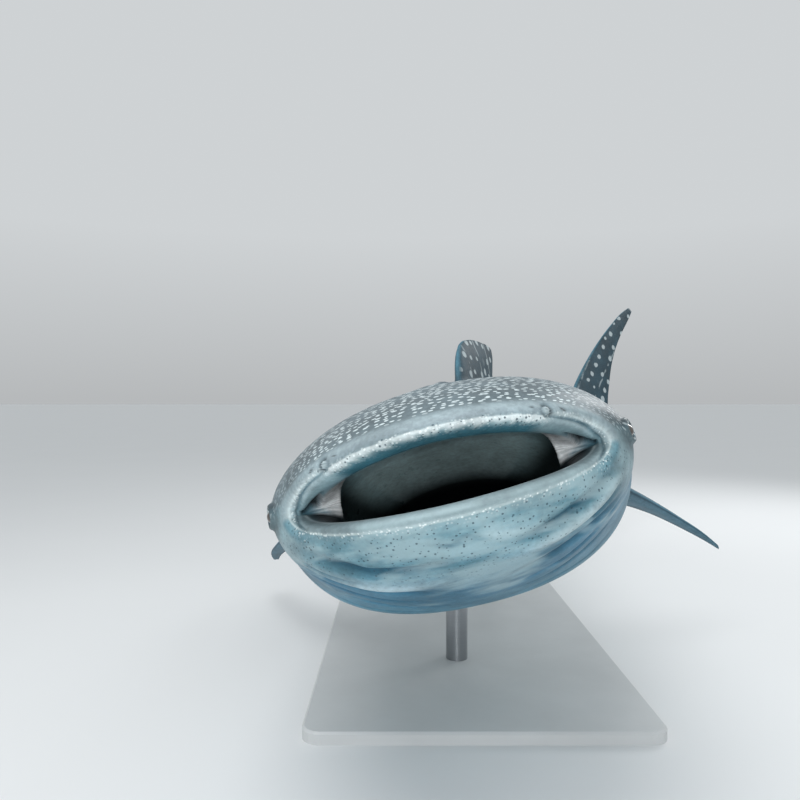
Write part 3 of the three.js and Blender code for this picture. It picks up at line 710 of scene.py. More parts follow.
@dataclass(frozen=True)
class Socket:
    """A round feature pressed into the skin or raised from it.

    Attributes:
        place: Distance from the middle plane, behind the snout and over the eye line.
        size: Radii to the side, to the rear and upwards.
        depth: How deep the middle is pressed in.
        rim: Height of the soft rim round it.
    """

    place: Point
    size: Point
    depth: float
    rim: float

    def centre(self, side: Side) -> np.ndarray:
        """Returns the middle of the feature on one side."""
        return np.array([self.place[0] * side.value, self.place[1], self.place[2]])


@dataclass
class SkinSheet:
    """Skin or a fin, still straight, as a grid of points with its colours and markings.

    Attributes:
        points: Body coordinates of the grid.
        tone: Colour without the markings, linear.
        marks: Strengths of the spots, the pores, the speckles and the wet shine.
        pattern: Cells of the spot pattern along and round the body, and how much smaller its spots are.
    """

    points: np.ndarray
    tone: np.ndarray
    marks: np.ndarray
    pattern: np.ndarray

    def rows(self) -> tuple[np.ndarray, ...]:
        """Returns the points, tones, marks and patterns with a row for each point."""
        return tuple(a.reshape(-1, a.shape[-1]) for a in (self.points, self.tone, self.marks, self.pattern))


@dataclass
class SharkSkin:
    """The one skin of head, mouth, trunk and tail.

    Attributes:
        axis: The bent line of the body.
        rings: The surface through the rings.
        columns: Mesh columns round the body.
        corner_detail: How much closer the columns run at the corners of the mouth.
        nostril_detail: How much closer the columns run at the nostrils.
        eye: The eye socket with its lid.
        spiracle: The small opening behind the eye.
        nostril: Ring number and angle of a nostril.
        nostril_width: Radius of the crescent of a nostril.
        nostril_depth: Depth of the crescent.
        nostril_flap: Radius of the knob in its middle.
        knob_height: Height of the knob.
        pocket_depth: How deep the pocket behind the fold of the upper lip is pressed in.
        lid_reach: Reach of the painted shadow of the lids round an eye.
        lid_shift: How far the middle of the painted shadow lies ahead of the eye and below it.
        pit_reach: Radius of a sense pit.
        crease_shade: How strongly painted shade darkens and blues the creases.
        fold_highlight: How strongly painted highlight pales the raised folds.
        shade_and_highlight_depth: Depth of a crease at its full painted shade, and height of a raised fold at
            its full painted highlight.
        gills: Distances of the gill slits behind the snout.
        gill_low: Angle of the lower end of a slit.
        gill_top: Angle of its upper end.
        gill_bow: How far its middle bows to the rear.
        gill_depth: Depth of a slit.
        gill_flare: How far the skin ahead of a slit stands off.
        gill_width: Half width of a slit.
        gill_lead: How far ahead of a slit the skin stands off most.
        gill_spread: Half width of the part that stands off.
        gill_shade: Half width of the painted shade in a slit.
    """

    axis: BodyAxis = field(default_factory=BodyAxis)
    rings: SkinRings = field(default_factory=SkinRings)
    columns: int = 236
    corner_detail: float = 1.5
    nostril_detail: float = 0.7
    eye: Socket = Socket(EYE_PLACE, (0.034, 0.027, 0.027), 0.016, 0.011)
    spiracle: Socket = Socket((0.52, 0.5, 0.034), (0.03, 0.017, 0.012), 0.014, 0.003)
    nostril: tuple[float, float] = (7.05, 50.5)
    nostril_width: float = 0.019
    nostril_depth: float = 0.009
    nostril_flap: float = 0.0085
    knob_height: float = 0.0026
    pocket_depth: float = 0.02
    lid_reach: float = 0.052
    lid_shift: float = 0.012
    pit_reach: float = 0.0045
    crease_shade: float = 0.92
    fold_highlight: float = 0.55
    shade_and_highlight_depth: float = 0.012
    gills: tuple[float, ...] = (0.985, 1.075, 1.16, 1.24, 1.315)
    gill_low: float = -36.0
    gill_top: float = 25.0
    gill_bow: float = 0.026
    gill_depth: float = 0.03
    gill_flare: float = 0.012
    gill_width: float = 0.011
    gill_lead: float = 0.03
    gill_spread: float = 0.02
    gill_shade: float = 0.012

    def angles(self) -> np.ndarray:
        """Spaces the columns of the mesh, closer at the corners of the mouth and at the nostrils.

        Returns:
            The column angles from the belly round by the left side.
        """
        fine = np.linspace(-90, 270, 3601)
        from_corner = np.minimum(abs(fine), abs(fine - 180))
        from_nostril = np.minimum(abs(fine - self.nostril[1]), abs(fine - 180 + self.nostril[1]))
        density = (1 + self.corner_detail * np.exp(-((from_corner / 10) ** 2))
                   + self.nostril_detail * np.exp(-((from_nostril / 8) ** 2)))
        share = np.concatenate([[0], np.cumsum((density[1:] + density[:-1]) / 2)])
        return np.interp(np.linspace(0, share[-1], self.columns, endpoint=False), share, fine)

    def numbers(self) -> np.ndarray:
        """Returns the ring numbers of the rows."""
        spans = [i + np.arange(ring.rows) / ring.rows for i, ring in enumerate(self.rings.rings[:-1])]
        return np.concatenate(spans + [np.array([len(self.rings.rings) - 1.0])])

    @staticmethod
    def outward(points: np.ndarray) -> np.ndarray:
        """Finds the outward directions of a rolled grid.

        Args:
            points: Rows of points, each row running once round the body.

        Returns:
            A unit vector for every point.
        """
        ahead = np.gradient(points, axis=0)
        round_it = (np.roll(points, -1, 1) - np.roll(points, 1, 1)) / 2
        normal = np.cross(ahead, round_it)
        return normal / np.maximum(np.linalg.norm(normal, axis=2, keepdims=True), 1e-9)

    def groove(self, points: np.ndarray, crease: Crease, side: Side) -> np.ndarray:
        """Presses one crease into the skin.

        Args:
            points: The grid of the skin.
            crease: The crease.
            side: The side that it is on.

        Returns:
            How deep the crease is at every point.
        """
        path = self.rings.path(crease.path, side, 90)
        low = path.min(0) - 3 * crease.width
        high = path.max(0) + 3 * crease.width
        near = np.all((points > low) & (points < high), -1)
        chosen = points[near]
        gap = np.linalg.norm(chosen[:, None] - path[None], axis=2)
        place = gap.argmin(1) / (len(path) - 1)
        fade = np.sqrt(np.clip(np.sin(math.pi * np.clip(place, 0.03, 0.97)), 0, 1))
        depth = np.zeros(points.shape[:2])
        depth[near] = crease.depth * fade * np.exp(-((gap.min(1) / crease.width) ** 2))
        return depth

    @staticmethod
    def socket_depth(points: np.ndarray, socket: Socket) -> np.ndarray:
        """Presses a socket into both sides of the skin.

        Args:
            points: The grid of the skin.
            socket: The eye socket or the spiracle.

        Returns:
            How deep it is at every point, less its rim.
        """
        depth = np.zeros(points.shape[:2])
        for side in Side:
            ratio = np.linalg.norm((points - socket.centre(side)) / np.array(socket.size), axis=2)
            rim = np.exp(-(((ratio - 1.12) / 0.24) ** 2))
            depth += socket.depth * ramp(1.0, 0.55, ratio) - socket.rim * rim
        return depth

    def gill_depths(self, points: np.ndarray, angle: np.ndarray) -> tuple[np.ndarray, np.ndarray]:
        """Shapes the gill flaps.

        Args:
            points: The grid of the skin.
            angle: Angle of every point.

        Returns:
            How deep the slits are, and how much shade is painted in them.
        """
        share = (fold(angle) - self.gill_low) / (self.gill_top - self.gill_low)
        ends = ramp(0, 0.16, share) * ramp(1, 0.84, share)
        back = points[..., 1] - self.gill_bow * (1 - 4 * (share - 0.5) ** 2)
        depth = np.zeros(angle.shape)
        dark = np.zeros(angle.shape)
        for station in self.gills:
            gap = back - station
            depth += ends * self.gill_depth * np.exp(-((gap / self.gill_width) ** 2))
            depth -= ends * self.gill_flare * np.exp(-(((gap + self.gill_lead) / self.gill_spread) ** 2))
            # Painted shade inside each slit.
            dark += ends * np.exp(-((gap / self.gill_shade) ** 2))
        return depth, np.clip(dark, 0, 1)

    def nostrils(self, points: np.ndarray) -> tuple[np.ndarray, np.ndarray, np.ndarray]:
        """Shapes the nostrils, each a crescent over a knob.

        Args:
            points: The grid of the skin.

        Returns:
            How deep they are, how dark they are with painted shade in the crescents and a dark middle, and
            how pale the skin is there.
        """
        depth = np.zeros(points.shape[:2])
        dark = np.zeros_like(depth)
        pale = np.zeros_like(depth)
        for side in Side:
            away = points - self.rings.spot(*self.nostril, side)
            gap = np.linalg.norm(away, axis=2)
            pit = gap / self.nostril_width
            crescent = np.exp(-(((pit - 0.82) / 0.22) ** 2))
            knob = np.exp(-((gap / self.nostril_flap) ** 4))
            above = ramp(-0.012, 0.01, away[..., 0] * side.value * 0.8 + away[..., 2] * 0.3)
            depth += self.nostril_depth * crescent * (0.35 + 0.65 * above) - self.knob_height * knob
            # Painted shade in the crescent's groove, heaviest under its upper edge, and a dark middle on the
            # knob.
            dark += crescent * (0.2 + 0.8 * above) + 0.6 * np.exp(-((pit / 0.2) ** 2))
            pale += knob * (1 - 0.85 * np.exp(-((pit / 0.26) ** 2)))
        return depth, np.clip(dark, 0, 1), np.clip(pale, 0, 1)

    def sense_pits(self, points: np.ndarray) -> np.ndarray:
        """Places the few large sense pits beside the nostrils.

        Args:
            points: The grid of the skin.

        Returns:
            How dark the pits are at every point.
        """
        dark = np.zeros(points.shape[:2])
        for number, angle in SENSE_PITS:
            for side in Side:
                gap = np.linalg.norm(points - self.rings.spot(number, angle, side), axis=2)
                dark += np.exp(-((gap / self.pit_reach) ** 4))
        return np.clip(dark, 0, 1)

    def lid_shade(self, points: np.ndarray) -> np.ndarray:
        """Paints the shadow of the lids round the eyes.

        Args:
            points: The grid of the skin.

        Returns:
            How dark it is at every point.
        """
        shade = np.zeros(points.shape[:2])
        for side in Side:
            away = points - (self.eye.centre(side) - np.array([0, self.lid_shift, self.lid_shift]))
            shade += 0.6 * np.exp(-((np.linalg.norm(away, axis=2) / self.lid_reach) ** 4))
        return shade

    @staticmethod
    def pocket(number: np.ndarray, angle: np.ndarray) -> np.ndarray:
        """Marks the pocket between the web and the upper lip, which is pressed in and painted dark as its
        shadow.

        Args:
            number: Ring numbers.
            angle: Angles round the rings.

        Returns:
            How far a point lies inside it, up to 1.
        """
        folded = fold(angle)
        edge = smooth_curve(POCKET_EDGE, folded)
        inside = ramp(-0.05, 0.04, number - edge) * ramp(5.2, 5.06, number)
        return inside * ramp(31, 28, folded) * ramp(-1, 0.6, folded)

    @staticmethod
    def wrinkles(number: np.ndarray, angle: np.ndarray) -> np.ndarray:
        """Lays the fine folds of the webs at the corners of the mouth and of the palate.

        Args:
            number: Ring numbers.
            angle: Angles round the rings.

        Returns:
            How deep the folds are at every point.
        """
        folded = fold(angle)
        web = ramp(3.95, 4.1, number) * ramp(4.95, 4.7, number) * ramp(30, 24, folded) * ramp(-12, -6, folded)
        palate = ramp(2.2, 2.8, number) * ramp(4.9, 4.4, number) * ramp(26, 50, folded)
        return web * np.sin(folded * 2.1 + number * 2) * 0.002 + palate * np.sin(number * 15) * 0.0025

    @staticmethod
    def graded(zones: Zones, number: np.ndarray) -> np.ndarray:
        """Returns a row of colours, given by ring number, at every ring number."""
        channels = [tuple((place, float(srgb(*colour)[k])) for place, colour in zones) for k in range(3)]
        return np.stack([smooth_curve(channel, number) for channel in channels], -1)

    def mouth_tones(self, number: np.ndarray, folded: np.ndarray) -> np.ndarray:
        """Colours the lips and the inside of the mouth, with painted light on the shaded palate and painted
        shade deep in the mouth, behind its corners and in the fine folds of the webs.

        Args:
            number: Ring numbers.
            folded: Angles of the left side.

        Returns:
            The colour of every point.
        """
        uneven = np.sin(folded * 1.9 + 1) * np.sin(folded * 0.83) + 0.6 * np.sin(folded * 4.1 + number * 3)
        shift = 0.09 * uneven * ramp(5.3, 5.8, number) * ramp(7.4, 6.8, number)
        upper = self.graded(UPPER_TONES, number + shift)
        side = self.graded(CORNER_TONES, number)
        # Painted shade darkens the inside of the mouth behind its corners.
        side *= 1 - (0.92 * ramp(3.9, 3.7, number) * ramp(50, 20, folded))[..., None]
        corner = ramp(50, 43, folded)[..., None]
        upper = upper * (1 - corner) + side * corner
        # Painted shade in the troughs of the webs' fine folds, in step with the wrinkles.
        web_fold_shade = (ramp(3.95, 4.1, number) * ramp(5.0, 4.7, number))[..., None]
        upper *= 1 - web_fold_shade * 0.3 * (0.5 + 0.5 * np.sin(folded * 2.1 + number * 2))[..., None]
        top = ramp(-9, -2, folded)[..., None]
        return upper * top + self.graded(LOWER_TONES, number) * (1 - top)

    def body_tones(self, number: np.ndarray, folded: np.ndarray) -> np.ndarray:
        """Colours the head, the trunk and the tail from the dark back to the pale belly, with painted shade
        under the chin.

        Args:
            number: Ring numbers.
            folded: Angles of the left side.

        Returns:
            The colour of every point.
        """
        edge = smooth_curve(SHADE_EDGE, number)
        back_share = ramp(-1, 1, (folded - edge) / smooth_curve(SHADE_SOFTNESS, number))[..., None]
        back, belly = self.graded(BACK_TONES, number), self.graded(BELLY_TONES, number)
        body = back * back_share + belly * (1 - back_share)
        cheek = (0.8 * ramp(-46, -16, folded) * ramp(10.2, 9.0, number))[..., None] * (1 - back_share)
        return body * (1 - cheek) + CHEEK_TONE * cheek

    def tones(self, number: np.ndarray, angle: np.ndarray) -> np.ndarray:
        """Returns the skin's plain colours by ring number and angle, with the painted light and shade of the
        mouth and the chin.
        """
        outside = ramp(7.3, 7.8, number)[..., None]
        return (self.mouth_tones(number, fold(angle)) * (1 - outside)
                + self.body_tones(number, fold(angle)) * outside)

    def shaded(self, tone: np.ndarray, depth: np.ndarray, dark: np.ndarray, pale: np.ndarray,
               number: np.ndarray, angle: np.ndarray) -> np.ndarray:
        """Paints shade into the slits, the nostril grooves, the pocket and round the eyes, darkens the sense
        pits, paints bluish shade into the creases, pales the knobs and paints highlights onto the raised
        folds.

        Args:
            tone: The plain colours.
            depth: How deep every point is pressed in.
            dark: How dark every point is, from painted shade and from the sense pits.
            pale: How much every point belongs to a knob.
            number: Ring numbers.
            angle: Angles round the rings.

        Returns:
            The shaded colours.
        """
        # Painted shade, with the dark of the sense pits.
        dark = dark[..., None]
        tone = tone * (1 - dark) + PIT_AND_SHADE_TONE * dark
        tone = tone * (1 - pale[..., None]) + KNOB_TONE * pale[..., None]
        # Painted shade, darker and bluer, wherever the skin is pressed in outside the mouth.
        creased = (np.clip(depth / self.shade_and_highlight_depth, 0, 1) * ramp(3.5, 4.4, number))[..., None] * (1 - dark)
        tone = tone * (1 - self.crease_shade * creased * (1 - CREASE_SHADE_TONE))
        # Painted highlight on the raised folds of the chin.
        lifted = np.clip(-depth / self.shade_and_highlight_depth, 0, 1)
        raised = (lifted * ramp(7.2, 7.8, number) * ramp(11.5, 10.5, number))[..., None]
        return tone + (FOLD_HIGHLIGHT_TONE - tone) * self.fold_highlight * raised * ramp(-6, -16, fold(angle))[..., None]

    def markings(self, number: np.ndarray, angle: np.ndarray) -> np.ndarray:
        """Lays out where the markings lie.

        Args:
            number: Ring numbers.
            angle: Angles round the rings.

        Returns:
            Strengths of the spots, the pores, the speckles and the wet shine.
        """
        folded = fold(angle)
        spots = ramp(7.55, 7.8, number) * ramp(-9, 3, folded - smooth_curve(SHADE_EDGE, number))
        spots *= 1 - 0.6 * ramp(48, 34, folded) * ramp(9.6, 8.6, number)
        furrow = smooth_curve(tuple(reversed(FURROW)), folded)
        band = ramp(5.35, 5.6, number) * ramp(6.8, 6.5, number) * ramp(44, 50, folded)
        chin = ramp(6.9, 7.1, number) * ramp(9.4, 8.2, number) * ramp(-4, -14, folded)
        beside = np.exp(-(((number - furrow - 0.42) / 0.3) ** 2))
        beside *= ramp(-40, -24, folded) * ramp(52, 44, folded)
        pores = np.clip(np.maximum(band, chin * 0.85) + 0.7 * beside, 0, 1)
        line = np.exp(-(((number - 6.84) / 0.2) ** 2)) * ramp(-20, -32, folded)
        above = np.exp(-(((number - 6.1) / 0.42) ** 2)) * ramp(42, 50, folded) * 0.8
        shine = 0.35 + 0.5 * ramp(5.2, 4.2, number)
        return np.stack([spots, pores, np.maximum(np.maximum(line, above), beside * 0.8), shine], -1)

    @staticmethod
    def cells(points: np.ndarray, angle: np.ndarray, number: np.ndarray) -> np.ndarray:
        """Counts the cells of the spot pattern along the back and round from the top.

        Args:
            points: The grid of the skin.
            angle: Angle of every point.
            number: Ring number of every point.

        Returns:
            Cells along, cells round, and 0.
        """
        size = smooth_curve(SPOT_CELL, number[:, 0])
        top = int(abs(angle[0] - 90).argmin())
        side = int(abs(angle[0] - 30).argmin())
        steps = [np.linalg.norm(np.diff(points[:, k], axis=0), axis=1) for k in (top, side)]
        length = size * smooth_curve(SPOT_LENGTH, number[:, 0])
        along = np.concatenate([[0], np.cumsum((steps[0] + steps[1]) / 2 / length[1:])])
        step = np.linalg.norm(np.diff(points, axis=1), axis=2)
        arc = np.concatenate([np.zeros((len(points), 1)), np.cumsum(step, 1)], 1)
        around = (arc - arc[:, top:top + 1]) / size[:, None]
        return np.stack([np.repeat(along[:, None], points.shape[1], 1), around, 0 * around], -1)

    def sheet(self) -> SkinSheet:
        """Shapes and colours the skin without its fins, straight.

        Returns:
            The sheet of the skin.
        """
        number, angle = np.meshgrid(self.numbers(), self.angles(), indexing="ij")
        points = self.rings.points(self.rings.knot_of(number), angle)
        depth = self.socket_depth(points, self.eye) + self.socket_depth(points, self.spiracle)
        for crease in CREASES:
            for side in Side if crease.both else (Side.LEFT,):
                depth += self.groove(points, crease, side)
        slits, slit_shade = self.gill_depths(points, angle)
        pits, nostril_dark_and_shade, knob_pale = self.nostrils(points)
        pocket = self.pocket(number, angle)
        depth += slits + pits + self.wrinkles(number, angle) + pocket * self.pocket_depth
        # Painted shade in the gill slits, the nostril grooves, the pocket and round the eyes, joined with the
        # dark sense pits.
        dark = np.maximum.reduce([slit_shade * 0.8, nostril_dark_and_shade * 0.85, pocket * 0.95, self.lid_shade(points),
                                  self.sense_pits(points) * 0.9])
        tone = self.shaded(self.tones(number, angle), depth, dark, knob_pale, number, angle)
        marks = self.markings(number, angle)
        marks[..., 0] *= 1 - np.clip(slit_shade + nostril_dark_and_shade + knob_pale, 0, 1)
        return SkinSheet(points - self.outward(points) * depth[..., None], tone, marks,
                         self.cells(points, angle, number))


@dataclass
class SharkBody:
    """The whole animal: the skin sheet and the fins fused, coloured and bent into the pose.

    Attributes:
        skin: The skin.
        fins: The fins.
        fin_cell: Size of a cell of the spot pattern on a fin.
        fin_spots: Strength of the spots on a fin.
        fin_shine: Wet shine of a fin.
        fin_shrink: How much smaller the spots of a fin are, as a share of a cell.
        fin_shift: Shift of the pattern along the chord, in cells.
        face_shift: Shift of the pattern from one face of a fin to the other, in cells.
        bare_root: Reach of the skin's colour on a fin that has no soft root, before it fades.
        flesh_nodes: The nodes that the skin stands for.
    """

    skin: SharkSkin = field(default_factory=SharkSkin)
    fins: tuple[Fin, ...] = FINS
    fin_cell: float = 0.105
    fin_spots: float = 0.6
    fin_shine: float = 0.1
    fin_shrink: float = 0.07
    fin_shift: float = 3.3
    face_shift: float = 40.5
    bare_root: float = 0.03
    flesh_nodes: tuple[str, ...] = (
        "head", "lower_jaw", "gill_region", "trunk", "tail_stalk", "caudal_fin", "first_dorsal_fin",
        "second_dorsal_fin", "anal_fin", "pelvic_fin_left", "pelvic_fin_right", "pectoral_fin_left",
        "pectoral_fin_right")

    def coloured(self, fin: Fin, laid: FinSheet, finder: KDTree, sheet: SkinSheet) -> SkinSheet:
        """Colours a fin, and lets it take the skin's colour at its root.

        Args:
            fin: The fin.
            laid: The fin's grid.
            finder: Finds the nearest row of the skin sheet.
            sheet: The skin sheet.

        Returns:
            The fin's points with their colours and markings.
        """
        points = laid.points.reshape(-1, 3)
        near = np.array([finder.find(p)[1] for p in points]).reshape(laid.height.shape)
        under = (fin.kind is not FinKind.MEDIAN) & (laid.face < 0)
        dark = PECTORAL_TONE if fin.kind is FinKind.PECTORAL else FIN_TONE
        lead = (ramp(0.05, 0.0, laid.share) * 0.9)[..., None]
        tone = dark * (1 - lead) + FIN_EDGE_TONE * lead
        # Painted shade darkens the pale underside of a paired fin.
        belly = (ramp(0.02, 0.12, laid.share) * ramp(0.99, 0.9, laid.share))[..., None] * under[..., None]
        tone = tone * (1 - belly) + FIN_UNDERSIDE_AND_SHADE_TONE * belly
        marks = np.zeros(laid.out.shape + (4,))
        marks[..., 0] = np.where(under, 0.0, self.fin_spots) * ramp(0.02, 0.06, laid.share)
        marks[..., 3] = self.fin_shine
        across = laid.out / self.fin_cell + np.where(laid.face > 0, 0, self.face_shift)
        pattern = np.stack([laid.along / self.fin_cell + self.fin_shift, across,
                            0 * laid.out + self.fin_shrink], -1)
        reach = (fin.fillet or self.bare_root) * 1.5
        blend = ramp(reach, reach * 0.1, laid.height)[..., None]
        tone = tone * (1 - blend) + sheet.tone.reshape(-1, 3)[near] * blend
        return SkinSheet(laid.points, tone, marks, pattern)

    def build(self) -> bpy.types.Object:
        """Builds the fused and posed body with its attributes.

        Returns:
            The body.
        """
        sheet = self.skin.sheet()
        body = rolled_grid("whale_shark_skin", sheet.points)
        surface = BVHTree.FromPolygons([Vector(v) for v in vertices_of(body)],
                                       [tuple(p.vertices) for p in body.data.polygons])
        finder = search_tree(sheet.points.reshape(-1, 3))
        sheets = [sheet]
        for fin in self.fins:
            laid = fin.sheet(surface)
            sheets.append(self.coloured(fin, laid, finder, sheet))
            self.fuse(body, rolled_grid(fin.name + "_form", laid.points))
            LOG.info("fused %s, %d faces", fin.name, len(body.data.polygons))
        self.dress(body, sheets)
        return body

    @staticmethod
    def fuse(body: bpy.types.Object, piece: bpy.types.Object) -> None:
        """Joins a fin to the body by a Boolean union and removes the fin's own object.

        Args:
            body: The body.
            piece: The fin's closed form.
        """
        only(body)
        union = body.modifiers.new("union", "BOOLEAN")
        union.operation = "UNION"
        union.solver = "MANIFOLD"
        union.object = piece
        bpy.ops.object.modifier_apply(modifier=union.name)
        bpy.data.objects.remove(piece, do_unlink=True)

    def dress(self, body: bpy.types.Object, sheets: list[SkinSheet]) -> None:
        """Gives every corner the colours of the nearest laid-out point, then bends the body into its pose.

        Args:
            body: The fused straight body.
            sheets: The sheets of the skin and of the fins.
        """
        straight = vertices_of(body)
        points, tones, marks, patterns = (np.concatenate(parts) for parts in zip(*(s.rows() for s in sheets)))
        finder = search_tree(points)
        near = np.array([finder.find(p)[1] for p in straight])
        solid = np.ones((len(near), 1))
        store(body, "skin_tone", "FLOAT_COLOR", "color", np.concatenate([tones[near], solid], 1))
        store(body, "marks", "FLOAT_COLOR", "color", marks[near])
        store(body, "pattern", "FLOAT_VECTOR", "vector", patterns[near])
        store(body, "rest", "FLOAT_VECTOR", "vector", straight)
        body.data.vertices.foreach_set("co", self.skin.axis.place(straight).ravel())
        body.data.update()
        only(body)
        bpy.ops.object.shade_smooth()


class NodeSheet:
    """A material's node tree, laid out by short calls."""

    def __init__(self, name: str) -> None:
        """Makes a material with its shader.

        Args:
            name: Name of the material.
        """
        self.material = bpy.data.materials.new(name)
        self.material.use_nodes = True
        self.tree = self.material.node_tree
        self.shader = self.tree.nodes["Principled BSDF"]

    def node(self, kind: str, inputs: dict | None = None, **settings: object) -> bpy.types.Node:
        """Adds a node.

        Args:
            kind: The node's type without its prefix.
            inputs: Values or output sockets by input name or number.
            settings: Properties of the node.

        Returns:
            The node.
        """
        made = self.tree.nodes.new("ShaderNode" + kind)
        for key, value in settings.items():
            setattr(made, key, value)
        for key, value in (inputs or {}).items():
            self.feed(made.inputs[key], value)
        return made

    def feed(self, socket: bpy.types.NodeSocket, value: object) -> None:
        """Links an output to a socket, or sets the socket's own value."""
        if isinstance(value, bpy.types.NodeSocket):
            self.tree.links.new(value, socket)
        else:
            socket.default_value = value

    def math(self, operation: str, a: object, b: object = 0.0, c: object = 0.0,
             clamp: bool = False) -> object:
        """Returns the output of a math node."""
        return self.node("Math", {0: a, 1: b, 2: c}, operation=operation, use_clamp=clamp).outputs[0]

    def step(self, value: object, low: float, high: float, to_low: float = 0.0,
             to_high: float = 1.0) -> object:
        """Returns a soft step of a value, from to_low at low to to_high at high."""
        made = self.node("MapRange", {0: value, 1: low, 2: high, 3: to_low, 4: to_high},
                         interpolation_type="SMOOTHSTEP")
        return made.outputs[0]

    def mix(self, share: object, a: object, b: object, blend: str = "MIX") -> object:
        """Returns the output of a colour mix."""
        made = self.node("Mix", data_type="RGBA", blend_type=blend)
        self.feed(made.inputs[0], share)
        self.feed(made.inputs[6], a)
        self.feed(made.inputs[7], b)
        return made.outputs[2]

    def noise(self, vector: object, scale: float, detail: float = 4.0, rough: float = 0.55) -> object:
        """Returns the value of a noise texture."""
        return self.node("TexNoise", {"Vector": vector, "Scale": scale, "Detail": detail,
                                      "Roughness": rough}).outputs["Fac"]

    def cells(self, vector: object, scale: float, random: float, dimensions: str = "3D",
              feature: str = "F1") -> bpy.types.Node:
        """Returns a cell texture node."""
        return self.node("TexVoronoi", {"Vector": vector, "Scale": scale, "Randomness": random},
                         voronoi_dimensions=dimensions, feature=feature)

    def attribute(self, name: str, output: str) -> object:
        """Returns an attribute of the mesh."""
        return self.node("Attribute", attribute_name=name).outputs[output]

    def tinted(self, colour: object, shade: object) -> object:
        """Returns a colour multiplied by a grey shade."""
        grey = self.node("CombineColor", {0: shade, 1: shade, 2: shade}).outputs[0]
        return self.mix(1.0, colour, grey, "MULTIPLY")

    def roughen(self, height: object, strength: float, distance: float) -> None:
        """Lets a height roughen the surface."""
        bump = self.node("Bump", {"Strength": strength, "Distance": distance, "Height": height}).outputs[0]
        self.feed(self.shader.inputs["Normal"], bump)


